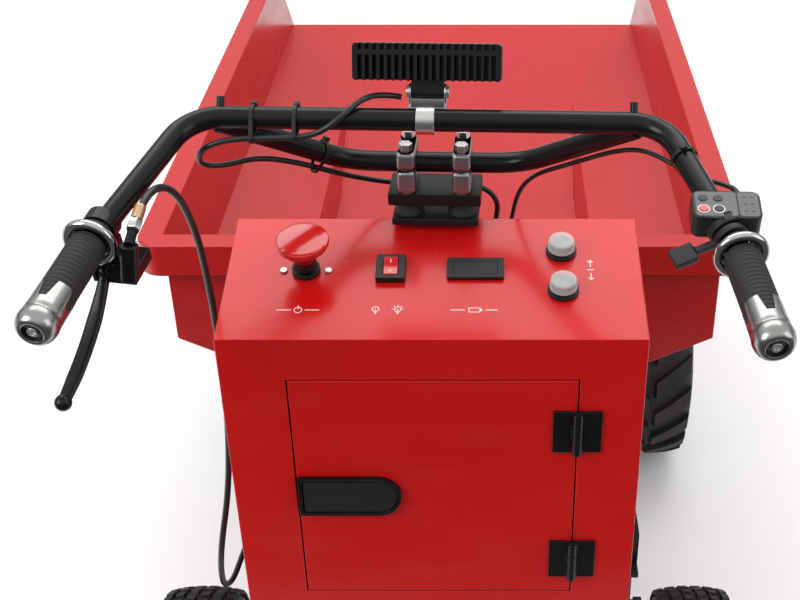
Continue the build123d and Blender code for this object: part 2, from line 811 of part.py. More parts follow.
def handlebar_lower():
    """Brace bar, coped onto the underside of the main bar."""
    half = weld_half
    top = (upper_bar[0] + 6, upper_bar[1] - 8)
    points = [(-half, *top), (-lower_bar_half, *lower_bar), (lower_bar_half, *lower_bar), (half, *top)]
    bar = tube_along(points, [70, 70], bar_radius) - tube_along(points, [70, 70], bar_radius - bar_wall)
    return (bar - bar_solid()).solids().sort_by(SortBy.VOLUME)[-1]


def flange_piece(side):
    """Chrome bell with a rolled edge, behind it a short black collar."""
    profile = [(bar_radius, -10), (15, -10), (17, -5), (24, 2), (25, 6), (23.5, 9), (19, 8), (bar_radius, 6)]
    bell = revolve(Plane.XZ * make_face(Polyline(*profile, close=True)), Axis.Z)
    return grip_plane(side).location * bell - bar_solid()


def grip_rubber(side):
    """Ribbed rubber sleeve; two of its edges are cut into the steps that the end cap fills."""
    start = 9.5
    sleeve = ring(grip_radius, bar_radius, (0, 0, start), (0, 0, start + grip_length))
    for turn in range(4):
        notch = Pos(grip_radius, 0, start + grip_length - 6) * Box(14, 13, 24)
        sleeve -= Rot(0, 0, 45 + 90 * turn) * notch
    for rib in range(9):
        groove = ring(grip_radius + 1, grip_radius - 1.2, (0, 0, start + 8 + 8 * rib), (0, 0, start + 11 + 8 * rib))
        sleeve -= groove
    return grip_plane(side).location * sleeve


def grip_end_cap(side):
    """Aluminium end with four tongues that reach into the rubber, and a recessed end face."""
    start = 9.5 + grip_length
    cap = ring(grip_radius + 0.5, bar_radius, (0, 0, start), (0, 0, start + 12))
    cap += rod(grip_radius + 0.5, (0, 0, start + 2), (0, 0, start + 20))
    for turn in range(4):
        tongue = Pos(grip_radius - 2.4, 0, start - 8.9) * Box(4.4, 12.4, 17.8)
        cap += Rot(0, 0, 45 + 90 * turn) * (tongue - Cylinder(bar_radius + 0.6, 2000))
    cap -= rod(10, (0, 0, start + 14), (0, 0, start + 21))
    cap -= Cylinder(bar_radius, 2 * (start + 2))
    return grip_plane(side).location * cap


def grip_screw(side):
    start = 9.5 + grip_length + 14
    screw = rod(5, (0, 0, start), (0, 0, start + 4)) - rod(2.5, (0, 0, start + 1.5), (0, 0, start + 4))
    return grip_plane(side).location * screw


# left hand: brake master cylinder and lever

lever_pivot = (6.0, -34.0, 4.0)         # in the left grip's frame
lever_tip = (-6.0, -95.0, 113.0)
lever_axis_half = 9.0
lever_swing = 18.0


master_start = (33.0, -33.0, 12.0)      # in the left grip's frame
master_end = (36.0, 0.0, 3.0)
hose_end = (34.5, 8.5, -23.5)
ear_half = 5.3


def brake_perch():
    """Bar clamp, web and master cylinder in one casting, with two ears for the lever."""
    px, py, pz = lever_pivot
    body = ring(16.5, bar_radius, (0, 0, -28), (0, 0, -12))
    body += block((-9, 13), (py - 6, -13), (-27, -13)) - Cylinder(bar_radius, 100)
    web = block((px - ear_half - 4, 38), (py - 6, -27), (-27, pz + 8))
    web -= block((px - ear_half, px + ear_half), (py - 30, py + 20), (pz - 11, pz + 30))
    for side in (-1, 1):
        ex = sorted((px + side * ear_half, px + side * (ear_half + 4)))
        web += rod(8, (ex[0], py, pz), (ex[1], py, pz))
    web -= rod(3.0, (px - 12, py, pz), (px + 12, py, pz))
    casting = grip_plane(-1).location * (body + web + rod(8.5, master_start, master_end))
    return casting - bar_solid()


def hose_fittings():
    """Hexagon banjo fitting and crimped ferrule between the master cylinder and its hose."""
    span = Vector(*hose_end) - Vector(*master_end)
    middle = Vector(*master_end) + span * 0.5
    fitting = rod(4.6, master_end, tuple(middle))
    ferrule = rod(5.2, tuple(middle), hose_end)
    return [grip_plane(-1).location * (piece - rod(8.5, master_start, master_end)) for piece in (fitting, ferrule)]


def brake_lever():
    """Blade that curves down from its pivot to a ball tip."""
    px, py, pz = lever_pivot
    tx, ty, tz = lever_tip
    middle = (py + 0.40 * (ty - py) - 7, pz + 0.42 * (tz - pz))
    path = [(py, pz), middle, (ty, tz)]
    spine = Plane(origin=(px, 0, 0), x_dir=(0, 1, 0), z_dir=(1, 0, 0)) * Spline(*path)
    section = Plane(origin=spine @ 0, z_dir=spine % 0, x_dir=(1, 0, 0)) * RectangleRounded(8, 12, 3.5)
    blade = sweep(section, path=spine)
    blade += rod(7, (px - 5, py, pz), (px + 5, py, pz))
    blade += Pos(px, ty, tz) * Sphere(8)
    return grip_plane(-1).location * (blade - rod(3 + running_fit, (px - 10, py, pz), (px + 10, py, pz)))


def lever_pin():
    px, py, pz = lever_pivot
    return grip_plane(-1).location * rod(3.0, (px - 11, py, pz), (px + 11, py, pz))


# right hand: console and thumb throttle

console_tilt = 12.0
console_size = (62.0, 38.0, 24.0)
console_distance = 41.0
console_clamp_distance = 28.0
throttle_distance = 14.0
key_radius = 4.2
key_places = [(-21.0, 7.5), (-7.5, 7.5), (-21.0, -7.0), (-7.5, -7.0)]
key_travel = 1.0
throttle_rest = 198.0
throttle_width = 7.0
throttle_hub_radius = 16.0


def console_frame():
    """Frame of the console: origin in the middle of its top face, Z out of that face."""
    base = arm_plane(1, console_distance).origin
    return Location((base.X + 4, base.Y, base.Z + 15.5)) * Rot(console_tilt, 0, 0)


def console_housing():
    """Flat box over the arm with a raised keypad, and the throttle's ring round the arm."""
    width, depth, height = console_size
    box = Pos(0, 0, -height / 2) * Box(width, depth, height)
    box = fillet(box.edges().filter_by(Axis.Z), 8)
    for place in key_places:
        box -= Pos(*place, -1) * Cylinder(key_radius + joint_gap, 5)
    housing = console_frame() * box
    notch = Cylinder(throttle_hub_radius + 0.6, 12, align=(Align.CENTER, Align.CENTER, Align.MIN))
    housing -= arm_plane(1, throttle_distance + throttle_width + joint_gap).location * notch
    housing += arm_plane(1, console_clamp_distance).location * Cylinder(17, 10)
    return housing - bar_solid()


def console_key(place):
    floor = Align.CENTER, Align.CENTER, Align.MIN
    key = Cylinder(key_radius, 3.0, align=floor)
    return console_frame() * Pos(*place, -1.6) * key


def throttle_paddle():
    """Thumb paddle on a ring that turns about the arm; it reaches inboard."""
    hub = ring(throttle_hub_radius, bar_radius + running_fit, (0, 0, -throttle_width), (0, 0, 0))
    reach = Pos(30, 0, -throttle_width / 2) * Box(36, 6, throttle_width)
    reach += Pos(46, 0, -throttle_width / 2) * Box(22, 7, 20)
    reach -= Cylinder(13, 60)
    return arm_plane(1, throttle_distance).location * Rot(0, 0, throttle_rest) * (hub + reach)


# riser between the frame and the lower bar

riser_station = 204.0
riser_plate_rise = 473.0
riser_block_rise = 499.0
clamp_base_rise = 513.0
clamp_top_rise = 561.0
clamp_bolt_reach = 17.0


def riser_stem():
    """Square post on the outrigger tube, its head plate and the block under the clamps."""
    plate_z = deck + riser_plate_rise
    post = square_tube((-20, 20), (riser_station - 20, riser_station + 20), (deck, plate_z), "z")
    plate = block((-47, 47), (154, riser_station + 24), (plate_z, plate_z + 8))
    clamp_block = block((-50, 50), (lower_bar[0] - 25, lower_bar[0] + 27),
                        (deck + riser_block_rise, deck + clamp_base_rise))
    for x in (-clamp_offset, clamp_offset):
        clamp_block -= rod(4.2, (x, lower_bar[0], deck + 400), (x, lower_bar[0], deck + 600))
        for reach in (-clamp_bolt_reach, clamp_bolt_reach):
            clamp_block -= rod(4.2, (x, lower_bar[0] + reach, deck + 400), (x, lower_bar[0] + reach, deck + 600))
        plate -= rod(4.2, (x, lower_bar[0], deck + 400), (x, lower_bar[0], deck + 600))
    studs = [rod(4, (x, lower_bar[0], plate_z - 3.6), (x, lower_bar[0], deck + clamp_base_rise - 1))
             for x in (-clamp_offset, clamp_offset)]
    return [post] + [turned(piece) for piece in [plate, clamp_block] + studs]


def riser_cones():
    """Rubber cones between the head plate and the clamp block."""
    low = deck + riser_plate_rise + 8
    high = deck + riser_block_rise
    cone = Cone(17, 11, high - low, align=(Align.CENTER, Align.CENTER, Align.MIN))
    cone -= Cylinder(4.0, 4 * (high - low))
    return [Pos(x, lower_bar[0], low) * cone for x in (-clamp_offset, clamp_offset)]


def riser_clamps():
    """Two split aluminium clamps round the lower bar."""
    pieces = []
    for middle in (-clamp_offset, clamp_offset):
        x = (middle - clamp_width / 2, middle + clamp_width / 2)
        y = (lower_bar[0] - 26, lower_bar[0] + 26)
        bore = cross_rod(bar_radius, x, lower_bar)
        lower = block(x, y, (deck + clamp_base_rise, lower_bar[1] - 0.6)) - bore
        cap = block(x, y, (lower_bar[1] + 0.6, deck + clamp_top_rise)) - bore
        for reach in (-clamp_bolt_reach, clamp_bolt_reach):
            hole = rod(4.2, (middle, y[0] + 26 + reach, deck + 480), (middle, y[0] + 26 + reach, deck + 600))
            lower -= hole
            cap -= hole
        pieces += [lower, cap]
    return pieces


def riser_bolts():
    bolts = []
    for middle in (-clamp_offset, clamp_offset):
        for reach in (-clamp_bolt_reach, clamp_bolt_reach):
            bolts.append(Pos(middle, lower_bar[0] + reach, deck + clamp_top_rise) * hex_bolt(13, 9, 4, 50))
    return bolts


# ---- Lamp ---------------------------------------------------------------------------------

lamp_pivot = (lamp_pivot_station, deck + lamp_pivot_rise)
lamp_floor = lamp_pivot[1] + 11.0
lamp_foot_half = 16.0
lamp_ear = 2.5


def lamp_bracket():
    """Clamp on the upper bar, a short strap and the U bracket with its ears."""
    y, z = upper_bar
    clamp = ring(bar_radius + 3, bar_radius, (-9, y, z), (9, y, z))
    strap_top = lamp_pivot[1] - 11
    tongue = block((-9, 9), (y + 2, y + 24), (z + 4, strap_top)) - cross_rod(bar_radius, (-20, 20), upper_bar)
    outer = lamp_foot_half + joint_gap + lamp_ear
    base = block((-outer, outer), (lamp_pivot[0] - 14, lamp_pivot[0] + 14), (strap_top - 3, strap_top))
    bracket = clamp + tongue + base
    for side in (-1, 1):
        x = sorted((side * (outer - lamp_ear), side * outer))
        bracket += block(x, (lamp_pivot[0] - 8, lamp_pivot[0] + 8), (strap_top - 3, lamp_pivot[1]))
        bracket += cross_rod(8, x, lamp_pivot)
    return bracket - cross_rod(3, (-outer, outer), lamp_pivot)


def lamp_screws():
    outer = lamp_foot_half + joint_gap + lamp_ear
    head = cross_rod(6, (outer, outer + 2.5), lamp_pivot)
    return cross_rod(3, (-outer - 2.5, outer + 2.5), lamp_pivot) + twin(head)


def lamp_housing():
    """Finned aluminium light bar with its foot and a clear lens on the forward side."""
    rear = lamp_station - lamp_depth / 2
    front = lamp_station + lamp_depth / 2
    z = (lamp_floor, lamp_floor + lamp_height)
    body = block((-lamp_width / 2, lamp_width / 2), (rear, front), z)
    body = fillet(body.edges().filter_by(Axis.Y), 4)
    fins = 19
    pitch = (lamp_width - 8) / fins
    for step in range(fins):
        x = -lamp_width / 2 + 4 + pitch * (step + 0.5)
        body -= block((x - pitch * 0.28, x + pitch * 0.28), (rear - 1, rear + 16), (z[0] - 1, z[1] + 1))
    body -= block((-lamp_width / 2 + 6, lamp_width / 2 - 6), (front - 20, front + 1), (z[0] + 5, z[1] - 5))
    foot = block((-lamp_foot_half, lamp_foot_half), (lamp_pivot[0] - 7, lamp_pivot[0] + 7), (lamp_pivot[1], z[0] + 1))
    foot += cross_rod(7, (-lamp_foot_half, lamp_foot_half), lamp_pivot)
    body += foot
    body -= cross_rod(3 + running_fit, (-lamp_foot_half - 1, lamp_foot_half + 1), lamp_pivot)
    lens = block((-lamp_width / 2 + 6, lamp_width / 2 - 6), (front - 6, front - 2), (z[0] + 5, z[1] - 5))
    board = block((-lamp_width / 2 + 6, lamp_width / 2 - 6), (front - 20, front - 18), (z[0] + 5, z[1] - 5))
    tilt = Pos(0, *lamp_pivot) * Rot(-lamp_aim, 0, 0) * Pos(0, -lamp_pivot[0], -lamp_pivot[1])
    return [tilt * piece for piece in (body, lens, board)]


# ---- Tub ----------------------------------------------------------------------------------

def tub_section(spread, x_limits):
    """Hopper outline square to the machine's length, spread outward by the sheet thickness and
    carried between two stations."""
    points = [(tub_half_width + spread, tub_rim_rise), (tub_half_width + spread, tub_shoulder_rise - 0.8 * spread),
              (tub_crease_half_width + spread, tub_crease_rise - 0.9 * spread),
              (tub_floor_half_width + spread, tub_floor_rise - spread)]
    outline = [(x, deck + z) for x, z in points] + [(-x, deck + z) for x, z in reversed(points)]
    face = Plane.XZ * make_face(Polyline(*outline, close=True))
    return Pos(0, x_limits[0], 0) * extrude(face, x_limits[1] - x_limits[0], dir=(0, 1, 0))


chute_rise = (tub_shoulder_rise - tub_floor_rise) / (tub_lip_station - tub_floor_end_station)


def above_chute(drop):
    """Everything above the floor and chute, lowered by the sheet thickness where asked."""
    lean = drop * math.hypot(1, chute_rise)
    half = tub_half_width + 100
    floor = deck + tub_floor_rise - drop
    far = tub_lip_station + 200
    corner = tub_floor_end_station + (lean - drop) / chute_rise
    lift = chute_rise * (far - tub_floor_end_station)
    return side_plate([(tub_rear_station - 100, floor), (corner, floor),
                       (far, deck + tub_floor_rise + lift - lean),
                       (far, deck + 900), (tub_rear_station - 100, deck + 900)], (-half, half))


def behind_mouth():
    """Everything behind the sloping front edge of the side walls."""
    half = tub_half_width + 100
    run = tub_lip_station - tub_rim_end_station
    drop = tub_rim_rise - tub_shoulder_rise
    slope = run / drop
    low = tub_lip_station + slope * (tub_shoulder_rise + 200)
    high = tub_rim_end_station - slope * 200
    return side_plate([(0, deck - 200), (tub_lip_station, deck - 200),
                       (tub_lip_station, deck + tub_shoulder_rise), (high, deck + tub_rim_rise + 200),
                       (0, deck + tub_rim_rise + 200)], (-half, half))


def tub_rim():
    """Outward flange with a turned-down skirt round the left, rear and right edges."""
    top = deck + tub_rim_rise
    half = tub_half_width + rim_width
    rear = tub_rear_station - rim_width

    def slab(inset, z):
        length = tub_lip_station - rear
        sheet_block = block((-half + inset, half - inset), (rear + inset, rear + length), z)
        corner = sheet_block.edges().filter_by(Axis.Z).group_by(Axis.Y)[0]
        return fillet(corner, rim_corner - inset)

    flange = slab(0, (top - rim_skirt, top)) - slab(sheet, (top - rim_skirt, top - sheet))
    mouth = block((-tub_half_width, tub_half_width), (tub_rear_station, tub_lip_station + 1), (top - 200, top + 1))
    return flange - mouth


def tub_shell():
    outer = tub_section(sheet, (tub_rear_station - sheet, tub_lip_station)) & above_chute(sheet)
    inner = tub_section(0, (tub_rear_station, tub_lip_station + 10)) & above_chute(0)
    shell = (outer - inner + tub_rim()) & behind_mouth()
    return shell


def tub_rails():
    """Two channels under the floor with pivot lugs, and the slotted ears for the actuator."""
    under = deck + tub_floor_rise - sheet
    x = (tub_rail_offset - tub_rail_width / 2, tub_rail_offset + tub_rail_width / 2)
    front = tub_pivot[0] - 45
    channel = block(x, (tub_rear_station + 60, front), (under - tub_rail_depth, under))
    channel -= block((x[0] + 3, x[1] - 3), (tub_rear_station + 50, front + 10),
                     (under - tub_rail_depth + 3, under - 3))
    lug_x = (tub_rail_offset - ear_thick / 2, tub_rail_offset + ear_thick / 2)
    lug = side_plate([(front - 30, under - tub_rail_depth - 6), (tub_pivot[0], tub_pivot[1] - 17),
                      (tub_pivot[0] + 17, tub_pivot[1]), (tub_pivot[0], under - 6), (front, under - 6)], lug_x)
    lug = lug - block(lug_x, (front - 40, front), (under - tub_rail_depth, under + 1))
    lug += cross_rod(17, lug_x, tub_pivot)
    lug += block(lug_x, (front, tub_pivot[0] - 5), (tub_pivot[1] - 10, under - 4))
    lug -= cross_rod(pivot_pin_radius + running_fit, lug_x, tub_pivot)
    return twin(channel + lug)


def actuator_bracket():
    """Cross plate between the channels with two slotted ears."""
    under = deck + tub_floor_rise - sheet
    y, z = actuator_end
    inside = tub_rail_offset - tub_rail_width / 2
    plate = block((-inside, inside), (y - 45, y + 45), (under - 5, under))
    for side in (-1, 1):
        near = side * (actuator_eye_half + ear_gap)
        x = sorted((near, near + side * ear_thick))
        ear = block(x, (y - 24, y + 24 + rod_end_float), (z - 22, under))
        half = actuator_pin_radius + 3
        slot = cross_rod(half, x, (y, z)) + cross_rod(half, x, (y + rod_end_float, z))
        slot += block(x, (y, y + rod_end_float), (z - half, z + half))
        plate += ear - slot
    return plate


# ---- Actuator -----------------------------------------------------------------------------

def actuator_frame():
    """Frame of the actuator at rest: origin on the base pin, Z along the rod."""
    start = Vector(0, *actuator_base)
    end = Vector(0, *actuator_end)
    return Plane(origin=start, x_dir=(1, 0, 0), z_dir=(end - start).normalized()), (end - start).length


def actuator_body():
    frame, length = actuator_frame()
    tube_end = length - 42
    bore = actuator_rod_radius + joint_gap
    tube = ring(actuator_tube_radius, bore, (0, 0, 40), (0, 0, tube_end))
    foot = (-actuator_foot_half, actuator_foot_half)
    head = Pos(0, 0, 26) * Box(2 * actuator_foot_half, 44, 36)
    eye = rod(13, (foot[0], 0, 0), (foot[1], 0, 0)) + block(foot, (-10, 10), (0, 12))
    gearbox = block((-24, 24), (-22, 62), (30, 58))
    motor = rod(21, (0, 43, 58), (0, 43, 172))
    body = tube + head + eye + gearbox + motor
    body -= rod(bore, (0, 0, 50), (0, 0, tube_end + 1))
    body -= rod(actuator_pin_radius + running_fit, (foot[0], 0, 0), (foot[1], 0, 0))
    return frame.location * Rot(0, 0, 180) * body


def actuator_rod():
    frame, length = actuator_frame()
    shaft = rod(actuator_rod_radius, (0, 0, 80), (0, 0, length - 12))
    eye = rod(14, (-actuator_eye_half, 0, length), (actuator_eye_half, 0, length))
    shaft += eye
    reach = actuator_eye_half + ear_gap + ear_thick + 3
    pin = rod(actuator_pin_radius, (-reach, 0, length), (reach, 0, length))
    return [frame.location * (shaft - pin), frame.location * pin]


# ---- Rubber mounts ------------------------------------------------------------------------

def tub_rest(side):
    """Rubber block on the rail cross tube under one tub channel."""
    under = deck + tub_floor_rise - sheet - tub_rail_depth
    s = actuator_base_station
    middle = side * tub_rail_offset
    return block((middle - 16, middle + 16), (s - 18, s + 18), (deck, under - joint_gap))


def grommet(x):
    place = (cabinet_depth - sheet, cable_port_height)
    seal = rod(cable_port_radius + 2.5, (x, cabinet_depth, place[1]), (x, cabinet_depth + 2.5, place[1]))
    seal += rod(cable_port_radius, (x, cabinet_depth - sheet, place[1]), (x, cabinet_depth, place[1]))
    return seal


# ---- Hose and cables ----------------------------------------------------------------------

laid = {}


def cord(name, diameter, points, carried):
    """A flexible line along straight runs joined by the largest arcs that its runs allow.  The
    first of its points, as many as carried, follow the handlebar."""
    angle = math.radians(bar_turn)
    points = [(x * math.cos(angle) - (y - lower_bar_station) * math.sin(angle),
               lower_bar_station + x * math.sin(angle) + (y - lower_bar_station) * math.cos(angle), z)
              for x, y, z in points[:carried]] + points[carried:]
    laid[name] = points
    radii = []
    for before, here, after in zip(points, points[1:], points[2:]):
        inward = Vector(*here) - Vector(*before)
        outward = Vector(*after) - Vector(*here)
        half_turn = math.radians(inward.get_angle(outward)) / 2
        radii.append(0.45 * min(inward.length, outward.length) / math.tan(half_turn))
    path = FilletPolyline(*points, radius=radii)
    line = sweep(Plane(origin=path @ 0, z_dir=path % 0) * Circle(diameter / 2), path=path)
    expected = math.pi * diameter ** 2 / 4 * path.length
    print(name, "length", round(path.length, 1), "radii", [round(radius) for radius in radii],
          "volume ratio", round(line.volume / expected, 4))
    return line


hose_diameter = 7.5
lamp_cable_diameter = 6.0
console_cable_diameter = 5.0

brake_hose_points = [
    (-251.8, -59.9, 989.1), (-249.0, -30.0, 1003.0), (-236.0, 8.0, 988.0), (-228.0, 34.0, 930.0),
    (-229.0, 58.0, 846.0), (-234.0, 80.0, 745.0), (-241.0, 95.0, 640.0), (-252.0, 96.0, 540.0),
    (-270.0, 84.0, 452.0), (-276.0, 92.0, 388.0), (-273.0, 128.0, 357.0), (-270.0, 190.0, 350.0),
    (-262.0, 255.0, 352.0), (-234.0, 322.0, 358.0), (-206.0, 395.0, 365.0), (-200.5, 495.0, 368.0),
    (-200.8, 590.0, 362.0), (-200.0, 660.0, 342.0), (-178.0, 718.0, 324.0), (-124.0, 740.0, 310.0),
    (-68.0, 736.0, 300.0), (-25.0, 760.0, 295.0), (-25.0, 805.9, 295.0)]

lamp_cable_points = [
    (-27.0, 112.0, 1037.0), (-44.0, 107.0, 1042.0), (-63.0, 86.0, 1046.0), (-82.0, 62.5, 1034.0),
    (-108.0, 62.0, 1016.0), (-150.0, 63.5, 1012.5), (-192.0, 62.0, 1012.0), (-221.0, 61.0, 1001.0),
    (-228.0, 76.0, 976.0), (-207.0, 92.0, 968.0), (-176.0, 109.0, 970.0), (-140.0, 136.0, 951.0),
    (-106.0, 163.0, 926.0), (-75.0, 199.0, 900.0), (-38.0, 212.0, 889.0), (0.0, 216.0, 889.0),
    (38.0, 214.0, 892.0), (68.0, 213.0, 873.0), (65.0, 214.0, 836.0), (56.0, 207.0, 800.0), (56.0, 181.6, 800.0)]

console_cable_points = [
    (295.0, -17.6, 994.6), (296.0, 0.0, 997.0), (284.0, 17.0, 995.0), (262.0, 34.0, 992.0),
    (238.0, 54.0, 998.0), (214.0, 78.0, 1000.0), (188.0, 99.0, 989.0), (141.0, 137.0, 953.0),
    (107.0, 166.0, 927.0), (90.0, 194.0, 893.0), (83.0, 211.0, 853.0), (81.0, 214.0, 824.0), (80.0, 206.0, 800.0), (80.0, 181.6, 800.0)]


def tie(plane, reach, cable_radius):
    """Nylon tie drawn round a bar and the line beside it; reach is from one middle to the other."""
    def loop(spread):
        bar_side = Circle(bar_radius + spread)
        cable_side = Pos(*reach) * Circle(cable_radius + spread)
        return extrude(make_hull((bar_side + cable_side).edges()), 4)

    band = loop(2.1) - loop(0.9)
    away = Vector(*reach).normalized()
    head = Pos(-away.X * (bar_radius + 3), -away.Y * (bar_radius + 3), 2) * Box(6, 6, 5.5)
    head -= Cylinder(bar_radius + 0.9, 30)
    return plane.location * (band + head)


def point_on(points, step, share):
    start, end = Vector(*points[step]), Vector(*points[step + 1])
    return start + (end - start) * share


def tie_on_upper_bar(step, share):
    """Tie square to the main bar at a place on the lamp cable."""
    place = point_on(lamp_cable_points, step, share)
    plane = Plane(origin=(place.X, *upper_bar), x_dir=(0, 1, 0), z_dir=(1, 0, 0))
    return tie(plane, (place.Y - upper_bar[0], place.Z - upper_bar[1]), lamp_cable_diameter / 2)


def tie_on_line(start, end, place, cable_radius):
    """Tie square to a straight run of bar between two points, round a line through a place."""
    axis = (end - start).normalized()
    middle = start + axis * (place - start).dot(axis)
    plane = Plane(origin=middle, x_dir=(place - middle).normalized(), z_dir=axis)
    return tie(plane, ((place - middle).length, 0), cable_radius + 1.2)


def cable_ties():
    bend = Vector(upper_bar_half, *upper_bar)
    flange = Vector(flange_half, flange_station, deck + flange_rise)
    weld = Vector(-weld_half, upper_bar[0] + 6, upper_bar[1] - 8)
    brace = Vector(-lower_bar_half, *lower_bar)
    return [tie_on_upper_bar(4, 0.5), tie_on_upper_bar(5, 0.5),
            tie_on_line(weld, brace, point_on(lamp_cable_points, 11, 0.4), lamp_cable_diameter / 2),
            tie_on_line(bend, flange, point_on(console_cable_points, 3, 0.5), console_cable_diameter / 2)]


# ---- Everything in its node ---------------------------------------------------------------

def fixed_screws():
    """E-stop screws, lamp pivot screw, riser clamp bolts, outrigger bolts and grip end screws."""
    pieces = [turned(piece) for piece in riser_bolts() + [lamp_screws(), grip_screw(-1), grip_screw(1)]]
    for side in (-1, 1):
        screw = Pos(side * screw_span, 0, 0) * (Cylinder(4, 2.4, align=(Align.CENTER, Align.CENTER, Align.MIN))
                                                + Pos(0, 0, -5) * Cylinder(screw_radius, 10))
        pieces.append(on_panel(*estop_place) * screw)
    return pieces


front_tyre, front_rim, shaft, wheel_bolts = front_wheel()
front_place = Pos(front_wheel_x, front_axle_station, axle_height)
rear_rubber, rear_steel = rear_wheel()
rear_place = Pos(rear_x, swivel_station - rear_trail, rear_tyre_radius)
kingpin_place = Pos(kingpin_x, swivel_station, 0)

nodes = {
    "frame_rails": group(*frame_rails()),
    "frame_cross_tubes": group(*frame_cross_tubes()),
    "frame_brackets": group(*twin(axle_hanger()), *twin(group(*tub_ears())), *actuator_ears()),
    "pivot_pins": group(*pivot_pins()),
    "rubber_mounts": group(tub_rest(-1), tub_rest(1), *[turned(cone) for cone in riser_cones()], *[grommet(x) for x in cable_port_x]),
    "axle_bearings": group(*axle_bearings()),
    "transaxle_housing": group(transaxle_housing(), brake_cylinder()),
    "drive_motor": drive_motor(),
    "kingpin_plates": group(*twin(kingpin_place * king_plate())),
    "cabinet_shell": cabinet_shell(),
    "batteries": group(*batteries(), battery_strap()),
    "motor_controller": motor_controller(),
    "door_hinges": group(*[piece for z in hinge_heights for piece in (hinge_leaf_piece(1, z), hinge_pin(z))]),
    "estop_base": estop_base(),
    "fixed_screws": group(*fixed_screws()),
    "rocker_housing": rocker_housing(),
    "battery_gauge": group(*battery_gauge()),
    "tip_button_bodies": group(*[tip_button_body(s) for s in (tip_up_station, tip_down_station)]),
    "riser_stem": group(*riser_stem()),
    "riser_clamps": group(*riser_clamps()),
    "handlebar_upper": handlebar_upper(),
    "handlebar_lower": handlebar_lower(),
    "grip_flanges": group(flange_piece(-1), flange_piece(1)),
    "grip_rubbers": group(grip_rubber(-1), grip_rubber(1)),
    "grip_end_caps": group(grip_end_cap(-1), grip_end_cap(1)),
    "brake_perch": group(brake_perch(), lever_pin(), *hose_fittings()),
    "brake_hose": cord("brake_hose", hose_diameter, brake_hose_points, 6),
    "console_housing": console_housing(),
    "lamp_bracket": lamp_bracket(),
    "lamp_cable": cord("lamp_cable", lamp_cable_diameter, lamp_cable_points, 18),
    "console_cable": cord("console_cable", console_cable_diameter, console_cable_points, 11),
    "cable_ties": group(*cable_ties()),
    "tub_shell": tub_shell(),
    "tub_rails": group(*tub_rails(), actuator_bracket()),
    "actuator_body": actuator_body(),
    "actuator_rod": group(*actuator_rod()),
    "door_panel": group(door_panel(), *[hinge_leaf_piece(-1, z) for z in hinge_heights], latch_dish()),
    "latch_paddle": latch_paddle(),
    "estop_button": estop_button(),
    "rocker_key": rocker_key(),
    "tip_up_button": tip_button(tip_up_station),
    "tip_down_button": tip_button(tip_down_station),
    "brake_lever": brake_lever(),
    "throttle_paddle": throttle_paddle(),
    "lamp_housing": group(*lamp_housing()),
    "steering_link": steering_link(),
}
for number, place in enumerate(key_places, 1):
    nodes[f"console_key_{number}"] = console_key(place)

on_handlebar = ("riser_clamps", "handlebar_upper", "handlebar_lower", "grip_flanges", "grip_rubbers", "grip_end_caps",
                "brake_perch", "brake_lever", "console_housing", "throttle_paddle", "lamp_bracket", "lamp_housing",
                "cable_ties", "console_key_1", "console_key_2", "console_key_3", "console_key_4")
for name in on_handlebar:
    nodes[name] = turned(nodes[name])

for side, suffix in ((-1, "left"), (1, "right")):
    def seat(shape):
        return shape if side == 1 else mirror(shape, about=Plane.YZ)
    nodes[f"front_tyre_{suffix}"] = seat(front_place * front_tyre)
    nodes[f"front_rim_{suffix}"] = seat(group(front_place * front_rim, front_place * shaft,
                                              *[front_place * bolt for bolt in wheel_bolts]))
    nodes[f"rear_tyre_{suffix}"] = seat(rear_place * rear_rubber)
    nodes[f"rear_rim_{suffix}"] = seat(rear_place * rear_steel)
    nodes[f"knuckle_{suffix}"] = seat(kingpin_place * knuckle())

cords = ("brake_hose", "lamp_cable", "console_cable")
rigid = group(*[shape for name, shape in nodes.items() if name not in cords])
origin_station = rigid.bounding_box().center().Y
print("origin station", round(origin_station, 3), "deck", deck, "nodes", len(nodes))

for name, shape in nodes.items():
    export_step(Pos(0, -origin_station, 0) * shape, f"parts/{name}.step")
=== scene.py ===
"""A battery-driven wheelbarrow with a tipping steel tub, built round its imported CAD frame."""
import json
from math import cos, pi, radians, sin

import bmesh
import bpy
from mathutils import Matrix, Vector

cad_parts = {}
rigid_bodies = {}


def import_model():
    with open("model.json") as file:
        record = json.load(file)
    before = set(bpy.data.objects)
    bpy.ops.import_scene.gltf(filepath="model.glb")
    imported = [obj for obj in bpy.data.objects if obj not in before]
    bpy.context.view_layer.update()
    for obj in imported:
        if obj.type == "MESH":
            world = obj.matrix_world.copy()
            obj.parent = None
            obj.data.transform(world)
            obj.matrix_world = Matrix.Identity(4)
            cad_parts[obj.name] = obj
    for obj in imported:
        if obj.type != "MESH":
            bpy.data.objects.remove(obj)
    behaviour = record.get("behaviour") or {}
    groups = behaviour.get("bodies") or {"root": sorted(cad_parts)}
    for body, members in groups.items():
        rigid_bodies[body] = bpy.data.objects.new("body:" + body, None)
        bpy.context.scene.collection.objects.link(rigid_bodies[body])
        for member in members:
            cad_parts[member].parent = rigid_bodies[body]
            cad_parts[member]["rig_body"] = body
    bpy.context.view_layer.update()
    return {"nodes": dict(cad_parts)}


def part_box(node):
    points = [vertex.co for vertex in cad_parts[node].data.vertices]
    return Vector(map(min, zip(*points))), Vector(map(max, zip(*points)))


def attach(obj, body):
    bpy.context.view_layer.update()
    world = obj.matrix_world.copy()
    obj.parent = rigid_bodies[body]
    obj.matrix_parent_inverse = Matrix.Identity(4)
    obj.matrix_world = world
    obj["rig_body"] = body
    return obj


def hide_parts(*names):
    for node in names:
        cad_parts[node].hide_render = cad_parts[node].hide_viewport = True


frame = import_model()
scene = bpy.context.scene
RIGHT, LEFT = 1, -1


